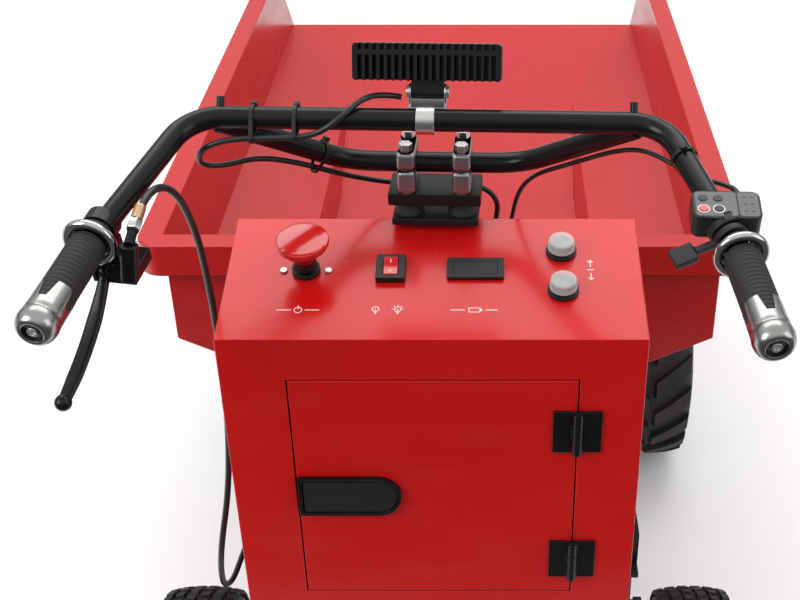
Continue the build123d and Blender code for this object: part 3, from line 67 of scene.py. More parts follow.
# ---- Camera, lights and floor ----
# The machine stands on a pale floor under large soft lights and is seen from behind its
# operator, a little above the handlebar. On the camera's side the floor is painted dark: painted
# shade that dims the floor's reflections and bounce light on the machine's near faces.

class Term:
    """A number or colour on its way through a finish's nodes, written as a formula."""

    def __init__(self, finish, socket):
        self.finish, self.socket = finish, socket

    def math(self, operation, *values):
        return self.finish.node("ShaderNodeMath", dict(operation=operation), dict(enumerate(values)))

    def __add__(self, other):
        return self.math("ADD", self, other)

    def __sub__(self, other):
        return self.math("SUBTRACT", self, other)

    def __rsub__(self, other):
        return self.math("SUBTRACT", other, self)

    def __mul__(self, other):
        return self.math("MULTIPLY", self, other)

    def __truediv__(self, other):
        return self.math("DIVIDE", self, other)

    def __pow__(self, other):
        return self.math("POWER", self, other)

    def above(self, level):
        return self.math("GREATER_THAN", self, level)

    __radd__, __rmul__ = __add__, __mul__


class Finish:
    """One surface finish: a material and the few nodes that vary it over the piece."""

    def __init__(self, name, **fixed):
        self.material = bpy.data.materials.new(name)
        self.material.use_nodes = True
        self.tree = self.material.node_tree
        self.shader = self.tree.nodes["Principled BSDF"]
        self.material.diffuse_color = (*fixed.get("Base_Color", (0.8, 0.8, 0.8, 1))[:3], 1)
        for socket, value in fixed.items():
            self.shader.inputs[socket.replace("_", " ")].default_value = value
        self.where = self.node("ShaderNodeTexCoord", output="Object")

    def node(self, kind, settings=None, sockets=None, output=0):
        made = self.tree.nodes.new(kind)
        for key, value in (settings or {}).items():
            if key == "stops":
                while len(made.color_ramp.elements) < len(value):
                    made.color_ramp.elements.new(0.5)
                for stop, (position, level) in zip(made.color_ramp.elements, value):
                    stop.position, stop.color = position, (level, level, level, 1)
            else:
                setattr(made, key, value)
        for key, value in (sockets or {}).items():
            if isinstance(value, Term):
                self.tree.links.new(value.socket, made.inputs[key])
            else:
                made.inputs[key].default_value = value
        return Term(self, made.outputs[output])

    def axis(self, number):
        return self.node("ShaderNodeSeparateXYZ", None, {0: self.where}, number)

    def stretched(self, scale):
        return self.node("ShaderNodeMapping", None, {"Vector": self.where, "Scale": scale})

    def noise(self, scale, detail=2.0, place=None):
        return self.node("ShaderNodeTexNoise", None,
                         {"Vector": place or self.where, "Scale": scale, "Detail": detail})

    def ramp(self, value, *stops):
        return self.node("ShaderNodeValToRGB", dict(stops=stops), {0: value})

    def mix(self, share, first, second):
        """Two colours blended by a share."""
        return self.node("ShaderNodeMix", dict(data_type="RGBA"), {0: share, 6: first, 7: second}, 2)

    def feed(self, **sockets):
        for socket, term in sockets.items():
            self.tree.links.new(term.socket, self.shader.inputs[socket.replace("_", " ")])
        return self

    def bumped(self, height, distance, strength=1.0):
        normal = self.node("ShaderNodeBump", None,
                           {"Height": height, "Distance": distance, "Strength": strength})
        return self.feed(Normal=normal)


def rgb(red, green, blue):
    return red, green, blue, 1.0


floor_finish = Finish("studio_floor", Base_Color=rgb(0.9, 0.9, 0.9), Roughness=0.7)
floor_white = floor_finish.mix(floor_finish.noise(3.0), rgb(0.965, 0.965, 0.965), rgb(0.98, 0.98, 0.98))
# Painted shade: the floor is dark below y = -1.15 and fades to pale by y = -0.85, on the camera's side, so it reflects
# and bounces less light onto the machine's near faces.
floor_painted_shade_band = floor_finish.ramp((floor_finish.axis(1) + 1.15) / 0.3, (0.0, 0.0), (1.0, 1.0))
floor_finish.feed(Base_Color=floor_finish.mix(floor_painted_shade_band, rgb(0.06, 0.06, 0.06), floor_white))
floor_shape = bmesh.new()
bmesh.ops.create_grid(floor_shape, x_segments=4, y_segments=4, size=14.0)
floor_mesh = bpy.data.meshes.new("studio_floor")
floor_shape.to_mesh(floor_mesh)
floor_shape.free()
studio_floor = bpy.data.objects.new("studio_floor", floor_mesh)
floor_mesh.materials.append(floor_finish.material)
scene.collection.objects.link(studio_floor)

camera = bpy.data.objects.new("camera", bpy.data.cameras.new("camera"))
camera.location = (0.059, -1.6991, 1.543)
camera.rotation_euler = (radians(90 - 32.5), 0, 0)
camera.data.sensor_width = 36
camera.data.lens = 57.1
camera.data.shift_x = -0.1125
scene.collection.objects.link(camera)
scene.camera = camera

world = bpy.data.worlds.new("studio")
scene.world = world
world.use_nodes = True
sky = world.node_tree
sky_height = sky.nodes.new("ShaderNodeSeparateXYZ")
sky_ramp = sky.nodes.new("ShaderNodeValToRGB")
for stop, (position, level) in zip(sky_ramp.color_ramp.elements, ((0.05, 0.22), (0.6, 1.0))):
    stop.position, stop.color = position, rgb(level, level, level)
sky.links.new(sky.nodes.new("ShaderNodeTexCoord").outputs["Generated"], sky_height.inputs[0])
sky.links.new(sky_height.outputs[2], sky_ramp.inputs[0])
sky.links.new(sky_ramp.outputs[0], sky.nodes["Background"].inputs["Color"])
sky.nodes["Background"].inputs["Strength"].default_value = 1.0
scene.view_settings.view_transform = "Standard"


def soft_light(name, place, target, size, power):
    lamp = bpy.data.lights.new(name, "AREA")
    lamp.shape, lamp.size, lamp.size_y, lamp.energy = "RECTANGLE", *size, power
    light = bpy.data.objects.new(name, lamp)
    light.location = place
    light.rotation_euler = (Vector(target) - Vector(place)).to_track_quat("-Z", "Y").to_euler()
    scene.collection.objects.link(light)


soft_light("overhead", (0.0, 0.9, 3.0), (0, 0.1, 0.6), (3.2, 1.6), 38)
soft_light("key_left", (-2.4, -2.2, 2.4), (0, -0.2, 0.6), (1.4, 1.8), 46)
soft_light("fill_right", (2.6, -1.6, 1.8), (0, 0, 0.6), (1.6, 1.8), 16)


# ---- Hose and cables ----
# A smooth rubber brake hose and two jacketed cables.  They leave their fittings, are tied along
# the handlebar and go down to the gear case and through two grommets in the cabinet.

def rubbery(name, colour, roughness, grain, depth):
    finish = Finish(name, Base_Color=rgb(*colour), Roughness=roughness, Specular_IOR_Level=0.4)
    cloud = finish.noise(18.0, 3.0)
    finish.feed(Base_Color=finish.mix(cloud, rgb(*[0.8 * c for c in colour]),
                                      rgb(*[1.35 * c + 0.004 for c in colour])),
                Roughness=roughness - 0.08 + 0.16 * finish.noise(60.0))
    return finish.bumped(finish.noise(grain, 1.0), depth, 0.6)


hose_finish = rubbery("hose_rubber", (0.012, 0.012, 0.013), 0.32, 700.0, 0.0002)


def cord(name, diameter, points):
    line = bpy.data.curves.new(name, "CURVE")
    line.dimensions = "3D"
    line.bevel_depth = diameter / 2
    line.bevel_resolution = 5
    line.use_fill_caps = True
    spline = line.splines.new("NURBS")
    spline.points.add(len(points) - 1)
    for point, place in zip(spline.points, points):
        point.co = (*place, 1)
    spline.order_u = 3
    spline.use_endpoint_u = True
    spline.resolution_u = 12
    line.materials.append(hose_finish.material)
    piece = bpy.data.objects.new(name + "_line", line)
    scene.collection.objects.link(piece)
    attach(piece, "chassis")
    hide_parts(name)
    return piece


cord("brake_hose", 0.0075, [
    (-0.2602, -0.6936, 0.9891), (-0.2563, -0.6638, 1.003), (-0.242, -0.6263, 0.988),
    (-0.233, -0.6006, 0.93), (-0.2331, -0.5766, 0.846), (-0.2373, -0.5545, 0.745),
    (-0.241, -0.5481, 0.64), (-0.252, -0.5471, 0.54), (-0.27, -0.5591, 0.452),
    (-0.276, -0.5511, 0.388), (-0.273, -0.5151, 0.357), (-0.27, -0.4531, 0.35),
    (-0.262, -0.3881, 0.352), (-0.234, -0.3211, 0.358), (-0.206, -0.2481, 0.365),
    (-0.2005, -0.1481, 0.368), (-0.2008, -0.0531, 0.362), (-0.2, 0.0169, 0.342),
    (-0.178, 0.0749, 0.324), (-0.124, 0.0969, 0.31), (-0.068, 0.0929, 0.3),
    (-0.025, 0.1169, 0.295), (-0.025, 0.1628, 0.295)])
cord("lamp_cable", 0.006, [
    (-0.0293, -0.5301, 1.037), (-0.0465, -0.5344, 1.042), (-0.0662, -0.5547, 1.046),
    (-0.0861, -0.5775, 1.034), (-0.1121, -0.5771, 1.016), (-0.154, -0.574, 1.0125),
    (-0.196, -0.574, 1.012), (-0.225, -0.5739, 1.001), (-0.2315, -0.5587, 0.976),
    (-0.2099, -0.5435, 0.968), (-0.1783, -0.5276, 0.97), (-0.1413, -0.5019, 0.951),
    (-0.1064, -0.4762, 0.926), (-0.0741, -0.4414, 0.9), (-0.0366, -0.4297, 0.889),
    (0.0015, -0.4271, 0.889), (0.0394, -0.4305, 0.892), (0.0693, -0.4326, 0.873),
    (0.065, -0.4291, 0.836), (0.056, -0.4361, 0.8), (0.056, -0.4615, 0.8)])
cord("console_cable", 0.005, [
    (0.2877, -0.6714, 0.9946), (0.2894, -0.6538, 0.997), (0.278, -0.6364, 0.995),
    (0.2567, -0.6186, 0.992), (0.2334, -0.5977, 0.998), (0.2103, -0.5729, 1.0),
    (0.1851, -0.5509, 0.989), (0.1395, -0.5112, 0.953), (0.1066, -0.481, 0.927),
    (0.0906, -0.4524, 0.893), (0.0843, -0.4352, 0.853), (0.081, -0.4291, 0.824),
    (0.08, -0.4371, 0.8), (0.08, -0.4615, 0.8)])


# ---- Frame, hangers and pivots ----
# Welded square steel tube with plate ears, powder coated satin black, turning on bright zinc
# plated pins.  Every edge of a coated part is slightly rounded.

def placed(name, shape, body, finish, node=None, sharp=35, matrix=None):
    """Makes a finished bmesh a piece of the machine, with crisp edges kept sharp."""
    if matrix is not None:
        bmesh.ops.transform(shape, matrix=matrix, verts=shape.verts)
    for face in shape.faces:
        face.smooth = True
    for edge in shape.edges:
        edge.smooth = edge.calc_face_angle(0) < radians(sharp)
    mesh = bpy.data.meshes.new(name)
    shape.to_mesh(mesh)
    shape.free()
    mesh.materials.append(finish.material)
    piece = bpy.data.objects.new(name, mesh)
    scene.collection.objects.link(piece)
    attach(piece, body)
    if node:
        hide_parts(node)
    return piece


def dressed(name, node, finish, edge=0.0008, keep=None):
    """A copy of a CAD node, or of some of it, with its edges rounded as the real part's are."""
    source = frame["nodes"][node]
    shape = bmesh.new()
    shape.from_mesh(source.data)
    bmesh.ops.remove_doubles(shape, verts=shape.verts, dist=1e-5)
    if keep:
        bmesh.ops.delete(shape, context="FACES", geom=[
            face for face in shape.faces if not keep(face.calc_center_median())])
    bmesh.ops.dissolve_limit(shape, angle_limit=radians(0.4), verts=shape.verts, edges=shape.edges)
    piece = placed(name, shape, source["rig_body"], finish, node, sharp=180 if edge else 35)
    if edge:
        rounding = piece.modifiers.new("rounded_edges", "BEVEL")
        rounding.width, rounding.segments = edge, 2
        rounding.limit_method, rounding.angle_limit = "ANGLE", radians(35)
        rounding.use_clamp_overlap = False
        flat = piece.modifiers.new("flat_faces", "WEIGHTED_NORMAL")
        flat.mode, flat.weight = "FACE_AREA", 100
    return piece


def powder_coat(name, colour, gloss, dust=0.02, shine=0.2):
    """Sprayed and baked paint: faint orange peel, a little handling haze and settled dust."""
    finish = Finish(name, Base_Color=rgb(*colour), Roughness=gloss, Coat_Weight=0.1,
                    Coat_Roughness=0.08, Specular_IOR_Level=shine)
    cloud = finish.noise(5.0, 3.0)
    shade = finish.mix(cloud, rgb(*[0.93 * c for c in colour]), rgb(*[1.06 * c for c in colour]))
    specks = finish.ramp(finish.noise(420.0, 2.0), (0.66, 0.0), (0.74, 1.0)) * dust
    haze = finish.ramp(finish.noise(9.0, 5.0, finish.stretched((1, 1, 3))), (0.45, 0.0), (0.8, 1.0))
    finish.feed(Base_Color=finish.mix(specks + haze * (dust * 0.3), shade, rgb(0.55, 0.5, 0.47)),
                Roughness=gloss + haze * 0.10 + 0.03 * finish.noise(40.0))
    return finish.bumped(finish.noise(260.0, 1.0), 0.0001, 0.05)


def plated(name, colour, roughness, stretch=(1, 1, 1), varying=0.12):
    """Bare or plated metal with machining lines along one axis."""
    finish = Finish(name, Base_Color=rgb(*colour), Metallic=1.0, Roughness=roughness)
    lines = finish.noise(500.0, 2.0, finish.stretched(stretch))
    cloud = finish.noise(25.0, 3.0)
    finish.feed(Base_Color=finish.mix(cloud, rgb(*[0.86 * c for c in colour]), rgb(*colour)),
                Roughness=roughness + varying * (lines - 0.5) + 0.5 * varying * cloud)
    return finish.bumped(lines, 0.00008, 0.35)


frame_finish = powder_coat("frame_black", (0.010, 0.010, 0.011), 0.36)
zinc_finish = plated("zinc_plate", (0.62, 0.62, 0.60), 0.30, (1, 1, 0.3))
dressed("frame_rail_pair", "frame_rails", frame_finish, 0.003)
dressed("frame_cross_members", "frame_cross_tubes", frame_finish, 0.003)
dressed("frame_ears", "frame_brackets", frame_finish, 0.001)
dressed("pivot_pin_set", "pivot_pins", zinc_finish, 0.0012)
rubber_finish = rubbery("moulded_rubber", (0.018, 0.018, 0.018), 0.6, 300.0, 0.0003)
dressed("rests_and_cones", "rubber_mounts", rubber_finish, 0.0008)


# ---- Drive ----
# A sand-cast gear case with its axle tubes, a black enamelled motor and a small brake cylinder,
# all under the tub.  Sealed bearings sit at the ends of the axle tubes.

cast_finish = Finish("sand_cast", Base_Color=rgb(0.5, 0.51, 0.52), Metallic=1.0, Roughness=0.5)
cast_grain = cast_finish.noise(350.0, 3.0)
cast_finish.feed(
    Base_Color=cast_finish.mix(cast_finish.noise(14.0, 4.0), rgb(0.40, 0.41, 0.42), rgb(0.56, 0.57, 0.58)),
    Roughness=0.42 + 0.2 * cast_grain)
cast_finish.bumped(cast_grain, 0.0006, 0.5)
motor_finish = powder_coat("motor_black", (0.02, 0.021, 0.023), 0.45)
dressed("gear_case", "transaxle_housing", cast_finish, 0.002)
dressed("motor_can", "drive_motor", motor_finish, 0.0015)
dressed("bearing_rings", "axle_bearings", zinc_finish, 0.0006)
dressed("actuator_case", "actuator_body", motor_finish, 0.0012)
chrome_finish = plated("chrome_plate", (0.52, 0.51, 0.50), 0.10, varying=0.04)
dressed("actuator_ram", "actuator_rod", chrome_finish, 0.0008)


# ---- Front wheels ----
# Wide pneumatic tyres with long slanting lugs on painted pressed-steel rims, bolted to the
# flanges of the two drive shafts.

def turned(profile, steps=64, axis=(0, 0, 1), angle=2 * pi):
    """A shape turned on a lathe: (distance along the axis, radius) pairs spun about it."""
    shape = bmesh.new()
    along = Vector(axis)
    out = Vector((0, 0, 1)) if abs(along.z) < 0.5 else Vector((1, 0, 0))
    corners = [shape.verts.new(along * a + out * r) for a, r in profile]
    edges = [shape.edges.new(pair) for pair in zip(corners, corners[1:])]
    bmesh.ops.spin(shape, geom=corners + edges, cent=(0, 0, 0), axis=along, angle=angle,
                   steps=steps, use_merge=abs(angle - 2 * pi) < 1e-6)
    bmesh.ops.remove_doubles(shape, verts=shape.verts, dist=1e-6)
    bmesh.ops.recalc_face_normals(shape, faces=shape.faces)
    return shape


tyre_finish = Finish("tyre_rubber", Base_Color=rgb(0.02, 0.019, 0.018), Roughness=0.62,
                     Specular_IOR_Level=0.35)
tyre_dust = tyre_finish.ramp(tyre_finish.noise(24.0, 5.0), (0.35, 0.0), (0.75, 1.0))
tyre_finish.feed(Base_Color=tyre_finish.mix(tyre_dust * 0.6, rgb(0.014, 0.0135, 0.013), rgb(0.05, 0.045, 0.04)),
                 Roughness=0.52 + 0.22 * tyre_dust)
tyre_finish.bumped(tyre_finish.noise(500.0, 2.0), 0.0003, 0.4)


def tread_block(size, slant, height, taper, segments=(3, 1)):
    """One rubber block, flat for now: length across the tread, width round it, and height."""
    block = bmesh.new()
    bmesh.ops.create_grid(block, x_segments=segments[0], y_segments=segments[1], size=0.5)
    top = bmesh.ops.extrude_face_region(block, geom=block.faces[:])
    raised = [item for item in top["geom"] if isinstance(item, bmesh.types.BMVert)]
    for vert in raised:
        vert.co.z = height
        vert.co.x *= taper
        vert.co.y *= taper
    for vert in block.verts:
        vert.co.x *= size[0]
        vert.co.y = vert.co.y * size[1] + slant * vert.co.x / size[0]
    bmesh.ops.recalc_face_normals(block, faces=block.faces)
    return block


def tyre_piece(name, node, carcass, crown, blocks):
    """Carcass and tread in one mesh, about the tyre's own centre."""
    low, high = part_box(node)
    shape = turned(carcass, 96, (1, 0, 0))
    for block, x, turn in blocks:
        for vert in block.verts:
            across = x + vert.co.x
            radius = crown(across) + vert.co.z
            angle = turn + vert.co.y / crown(0)
            vert.co = Vector((across, radius * sin(angle), radius * cos(angle)))
        mesh = bpy.data.meshes.new("block")
        block.to_mesh(mesh)
        block.free()
        shape.from_mesh(mesh)
        bpy.data.meshes.remove(mesh)
    bmesh.ops.recalc_face_normals(shape, faces=shape.faces)
    return placed(name, shape, frame["nodes"][node]["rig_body"], tyre_finish, node,
                  sharp=38, matrix=Matrix.Translation((low + high) / 2))


def mirrored(profile):
    return profile + [(-a, r) for a, r in reversed(profile)]


front_half, front_radius, lug_height = 0.075, 0.200, 0.011
front_wall = [(0.050, 0.1015), (0.062, 0.1015), (0.0645, 0.107), (0.0655, 0.116), (0.0735, 0.136),
              (0.0745, 0.150), (0.0725, 0.163), (0.0700, 0.172), (0.0660, 0.179), (0.0560, 0.1845),
              (0.0350, 0.1880), (0.0, 0.1890)]


def front_crown(x):
    share = abs(x) / 0.068
    return 0.1890 - 0.0075 * share ** 2 - 0.012 * max(0.0, share - 0.85)


for side, suffix in ((LEFT, "left"), (RIGHT, "right")):
    lugs = []
    for step in range(20):
        for half in (LEFT, RIGHT):
            lug = tread_block((0.066, 0.030), 0.050, lug_height, 0.9, (5, 1))
            if half == LEFT:
                bmesh.ops.scale(lug, vec=(-1, 1, 1), verts=lug.verts)
            lugs.append((lug, half * 0.036, (step + 0.5 * (half == LEFT)) * 2 * pi / 20))
    tyre_piece("front_tread_" + suffix, "front_tyre_" + suffix,
               mirrored(front_wall)[:-1] + [(-0.050, 0.1015)], front_crown, lugs)

rim_finish = powder_coat("rim_silver", (0.50, 0.51, 0.52), 0.33)
for suffix in ("left", "right"):
    dressed("front_wheel_disc_" + suffix, "front_rim_" + suffix, rim_finish, 0.0008)


# ---- Rear wheels ----
# Knobby pneumatic wheels on trailing knuckles that turn together on kingpins under the
# outriggers, joined by a steering link.

rear_wall = [(0.030, 0.0635), (0.042, 0.0635), (0.0445, 0.068), (0.0455, 0.075), (0.0530, 0.092),
               (0.0535, 0.103), (0.0520, 0.114), (0.0490, 0.123), (0.0430, 0.1290), (0.0250, 0.1330),
               (0.0, 0.1342)]


def rear_crown(x):
    share = abs(x) / 0.054
    return 0.1342 - 0.0075 * share ** 2.4


for suffix in ("left", "right"):
    knobs = []
    for row, x in enumerate((-0.043, -0.0265, -0.009, 0.009, 0.0265, 0.043)):
        for step in range(38):
            size = (0.0125, 0.0145) if abs(x) < 0.04 else (0.0115, 0.0165)
            knob = tread_block(size, 0.004 if row % 2 else -0.004, 0.0056, 0.84, (1, 1))
            knobs.append((knob, x, (step + 0.5 * (row % 2)) * 2 * pi / 38))
    tyre_piece("rear_tread_" + suffix, "rear_tyre_" + suffix,
               mirrored(rear_wall)[:-1] + [(-0.030, 0.0635)], rear_crown, knobs)
    dressed("rear_wheel_disc_" + suffix, "rear_rim_" + suffix, rim_finish, 0.0008)
    dressed("knuckle_casting_" + suffix, "knuckle_" + suffix, frame_finish, 0.0012)
dressed("kingpin_mounts", "kingpin_plates", frame_finish, 0.001)
dressed("tie_bar", "steering_link", zinc_finish, 0.0008)


# ---- Cabinet ----
# Folded sheet steel in glossy red, with a flush door on two black butt hinges and a black
# moulded latch.  Two batteries and a finned controller are inside.

red_finish = powder_coat("gloss_red", (0.60, 0.006, 0.005), 0.22, shine=0.35)
dressed("cabinet_sheet", "cabinet_shell", red_finish, 0.0012)
door_low, door_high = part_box("door_panel")
shell_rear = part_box("cabinet_shell")[0].y
dressed("door_skin", "door_panel", red_finish, 0.0010, lambda c: c.y > shell_rear - 0.00001)
bar_finish = powder_coat("bar_black", (0.006, 0.006, 0.007), 0.22, 0.01)
black_finish = Finish("moulded_black", Base_Color=rgb(0.009, 0.009, 0.01), Roughness=0.42,
                      Specular_IOR_Level=0.35)
black_grain = black_finish.noise(900.0, 1.0)
black_finish.feed(Base_Color=black_finish.mix(black_finish.noise(30.0), rgb(0.007, 0.007, 0.008), rgb(0.013, 0.013, 0.014)),
                  Roughness=0.36 + 0.16 * black_grain)
black_finish.bumped(black_grain, 0.00015, 0.4)
dressed("hinges_and_dish", "door_panel", bar_finish, 0.0007, lambda c: c.y < shell_rear - 0.00001)
dressed("hinge_fixed_leaves", "door_hinges", bar_finish, 0.0007)
dressed("latch_handle", "latch_paddle", black_finish, 0.0012)
battery_finish = rubbery("battery_case", (0.05, 0.055, 0.06), 0.45, 400.0, 0.0002)
dressed("battery_pair", "batteries", battery_finish, 0.002)
dressed("controller_block", "motor_controller", cast_finish, 0.0008)


# ---- Panel controls ----
# Emergency stop, lit rocker, battery gauge and two push buttons under soft clear caps, set in the
# sloping panel, with small printed marks beside them.

slope = radians(12.93)


def on_panel(x, station, rise=0.0):
    """A place on the sloping panel, station metres forward of the cabinet's rear face."""
    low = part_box("cabinet_shell")[0]
    edge = 0.8225
    return (Matrix.Translation((x, low.y + station, edge + station * 0.2296)) @
            Matrix.Rotation(slope, 4, "X") @ Matrix.Translation((0, 0, rise)))


red_plastic = Finish("gloss_red_plastic", Base_Color=rgb(0.62, 0.008, 0.008), Roughness=0.16, Coat_Weight=0.5)
red_plastic.feed(Base_Color=red_plastic.mix(red_plastic.noise(30.0), rgb(0.56, 0.006, 0.007), rgb(0.66, 0.012, 0.011)),
                 Roughness=0.12 + 0.08 * red_plastic.noise(200.0))
red_plastic.bumped(red_plastic.noise(80.0), 0.0002, 0.1)
mushroom = turned([(0.0215, 0.0), (0.0215, 0.0132), (0.0250, 0.0150), (0.0300, 0.0192), (0.0350, 0.0238),
                   (0.0385, 0.0264), (0.0415, 0.0278), (0.0440, 0.0280), (0.0458, 0.0270), (0.0466, 0.0250),
                   (0.0468, 0.0215), (0.0474, 0.0160), (0.0479, 0.0080), (0.0480, 0.0)])
placed("estop_mushroom", mushroom, "estop", red_plastic, "estop_button",
       matrix=on_panel(-0.136, 0.097))
neck = turned([(-0.020, 0.0), (-0.020, 0.006), (0.0078, 0.006), (0.008, 0.0119), (0.0215, 0.0119),
               (0.0225, 0.0128), (0.0225, 0.0)])
placed("estop_neck", neck, "estop", black_finish, "estop_button", matrix=on_panel(-0.136, 0.097))
dressed("estop_collar", "estop_base", black_finish, 0.0007)
dressed("rocker_frame", "rocker_housing", black_finish, 0.0008)
dressed("rocker_button", "rocker_key", red_plastic, 0.0006)
dressed("gauge_case", "battery_gauge", black_finish, 0.0006)
dressed("button_bezels", "tip_button_bodies", black_finish, 0.0006)

cap_finish = Finish("clear_silicone", Base_Color=rgb(0.78, 0.80, 0.80), Roughness=0.28, Alpha=0.42,
                    Coat_Weight=0.3)
cap_finish.feed(Base_Color=cap_finish.mix(cap_finish.noise(90.0), rgb(0.70, 0.73, 0.73), rgb(0.86, 0.88, 0.88)),
                Roughness=0.22 + 0.16 * cap_finish.noise(220.0))
cap_finish.bumped(cap_finish.noise(160.0), 0.0003, 0.2)
core_finish = rubbery("button_core", (0.10, 0.15, 0.145), 0.4, 300.0, 0.0002)
cap_profile = [(0.0073, 0.0125), (0.0073, 0.0145), (0.0105, 0.0146), (0.0115, 0.0140), (0.0165, 0.0138),
               (0.0176, 0.0128), (0.0180, 0.0110), (0.0176, 0.0095), (0.0172, 0.0)]
core_profile = [(-0.005, 0.0), (-0.005, 0.0078), (0.0072, 0.0078), (0.0074, 0.0105), (0.0140, 0.0102),
                (0.0148, 0.0094), (0.0149, 0.0)]
for name, station in (("tip_up", 0.126), ("tip_down", 0.068)):
    placed(name + "_cap", turned(cap_profile, 48), name, cap_finish, name + "_button",
           matrix=on_panel(0.1355, station))
    placed(name + "_core", turned(core_profile, 48), name, core_finish, name + "_button",
           matrix=on_panel(0.1355, station))


def rounded_plate(size, corner, thick, holes=(), steps=6):
    """A thin plate with rounded corners, its underside at zero."""
    shape = bmesh.new()
    rim = []
    for quarter, (x, y) in enumerate(((1, 1), (-1, 1), (-1, -1), (1, -1))):
        for step in range(steps + 1):
            turn = pi / 2 * (quarter + step / steps)
            rim.append(shape.verts.new((x * (size[0] / 2 - corner) + corner * cos(turn),
                                        y * (size[1] / 2 - corner) + corner * sin(turn), 0)))
    face = shape.faces.new(rim)
    raised = bmesh.ops.extrude_face_region(shape, geom=[face])
    for item in raised["geom"]:
        if isinstance(item, bmesh.types.BMVert):
            item.co.z = thick
    bmesh.ops.recalc_face_normals(shape, faces=shape.faces)
    return shape


def flat_ring(inner, outer, thick, steps=40):
    return turned([(0, inner), (thick, inner), (thick, outer), (0, outer), (0, inner)], steps)


print_finish = Finish("pale_print", Base_Color=rgb(0.85, 0.84, 0.82), Roughness=0.4)
print_finish.feed(Base_Color=print_finish.mix(print_finish.noise(300.0), rgb(0.80, 0.79, 0.77), rgb(0.9, 0.89, 0.87)))


def print_mark(name, pieces, place, body="chassis", node="cabinet_shell"):
    """A white mark printed on a surface, made of thin plates and rings laid side by side."""
    shape = bmesh.new()
    for part, (x, y), turn in pieces:
        bmesh.ops.transform(part, matrix=Matrix.Translation((x, y, 0)) @ Matrix.Rotation(radians(turn), 4, "Z"),
                            verts=part.verts)
        mesh = bpy.data.meshes.new("mark")
        part.to_mesh(mesh)
        part.free()
        shape.from_mesh(mesh)
        bpy.data.meshes.remove(mesh)
    return placed(name, shape, body, print_finish, sharp=30, matrix=place)


def bar(width, height):
    return rounded_plate((width, height), min(width, height) * 0.3, 0.00012, steps=2)


def bulb_sign(rays):
    parts = [(flat_ring_thin(0.0030, 0.0038), (0, 0.0012), 0), (bar(0.0030, 0.0009), (0, -0.0034), 0),
             (bar(0.0022, 0.0009), (0, -0.0050), 0), (bar(0.0008, 0.0026), (0, 0.0006), 0)]
    for turn in (0, 45, 90, 135, 180) if rays else ():
        parts.append((bar(0.0018, 0.0007), (0.0056 * cos(radians(turn)), 0.0012 + 0.0056 * sin(radians(turn))), turn))
    return parts


def flat_ring_thin(inner, outer):
    return flat_ring(inner, outer, 0.00012, 32)


print_mark("sign_light_off", bulb_sign(False), on_panel(-0.059, 0.041))
print_mark("sign_light_on", bulb_sign(True), on_panel(-0.036, 0.041))
print_mark("sign_power", [(flat_ring_thin(0.0034, 0.0043), (0, 0), 0), (bar(0.0009, 0.0052), (0, 0.0038), 0),
                          (bar(0.0150, 0.0010), (-0.0145, 0), 0), (bar(0.0150, 0.0010), (0.0145, 0), 0)],
           on_panel(-0.139, 0.041))
print_mark("sign_battery", [(bar(0.0120, 0.0009), (0, 0.0029), 0), (bar(0.0120, 0.0009), (0, -0.0029), 0),
                            (bar(0.0009, 0.0066), (-0.0058, 0), 0), (bar(0.0009, 0.0066), (0.0058, 0), 0),
                            (bar(0.0016, 0.0028), (0.0072, 0), 0), (bar(0.0150, 0.0010), (-0.0175, 0), 0),
                            (bar(0.0130, 0.0010), (0.0178, 0), 0)], on_panel(0.043, 0.041))
print_mark("sign_tip", [(bar(0.0010, 0.0095), (0, 0.011), 0), (bar(0.0042, 0.0010), (-0.0013, 0.0150), 45),
                        (bar(0.0042, 0.0010), (0.0013, 0.0150), -45), (bar(0.0075, 0.0010), (0, 0.0020), 0),
                        (bar(0.0010, 0.0095), (0, -0.0075), 0), (bar(0.0042, 0.0010), (-0.0013, -0.0115), -45),
                        (bar(0.0042, 0.0010), (0.0013, -0.0115), 45)], on_panel(0.166, 0.097))
rocker_face = on_panel(-0.046, 0.097, 0.003) @ Matrix.Rotation(radians(9), 4, "X")
print_mark("rocker_off_sign", [(flat_ring_thin(0.0013, 0.0019), (0, 0), 0)],
           rocker_face @ Matrix.Translation((0, -0.0066, 0.0062)) @ Matrix.Rotation(radians(-9.9), 4, "X"),
           "rocker", "rocker_key")
print_mark("rocker_on_sign", [(bar(0.0009, 0.0042), (0, 0), 0)],
           rocker_face @ Matrix.Translation((0, 0.0066, 0.0062)) @ Matrix.Rotation(radians(9.9), 4, "X"),
           "rocker", "rocker_key")


# ---- Handlebar ----
# One bent steel tube with a brace bar below it, semi-gloss black, held by two split aluminium
# clamps on a rubber-mounted block.

dressed("main_bar", "handlebar_upper", bar_finish, 0)
dressed("brace_bar", "handlebar_lower", bar_finish, 0)
dressed("riser_post", "riser_stem", frame_finish, 0.0015)
satin_finish = plated("satin_aluminium", (0.42, 0.42, 0.43), 0.32, (1, 1, 0.05))
dressed("split_clamps", "riser_clamps", satin_finish, 0.0045)
dressed("screw_heads", "fixed_screws", zinc_finish, 0.0008)
dressed("nylon_ties", "cable_ties", black_finish, 0.0003)


# ---- Grips, brake and throttle ----
# Ribbed rubber sleeves between a chrome bell and a satin aluminium end whose tongues are let
# into the rubber; a cast brake perch with its lever, and a key console with a thumb paddle.

grip_finish = rubbery("grip_rubber", (0.016, 0.014, 0.013), 0.6, 500.0, 0.0003)
riser_place = Matrix.Translation((0, -0.4681, 0))
bar_turn = riser_place @ Matrix.Rotation(radians(-2.1), 4, "Z") @ riser_place.inverted()


def on_grip(side):
    """Frame of one grip: origin in its bell, Z toward the operator's end of the grip."""
    start = Vector((side * 0.289, -0.7201, 0.977))
    along = (Vector((side * 0.306, -0.8391, 0.9565)) - start).normalized()
    right = along.cross(Vector((0, 0, -1))).normalized()
    turn = Matrix((right, along.cross(right), along)).transposed().to_4x4()
    return bar_turn @ Matrix.Translation(start) @ turn


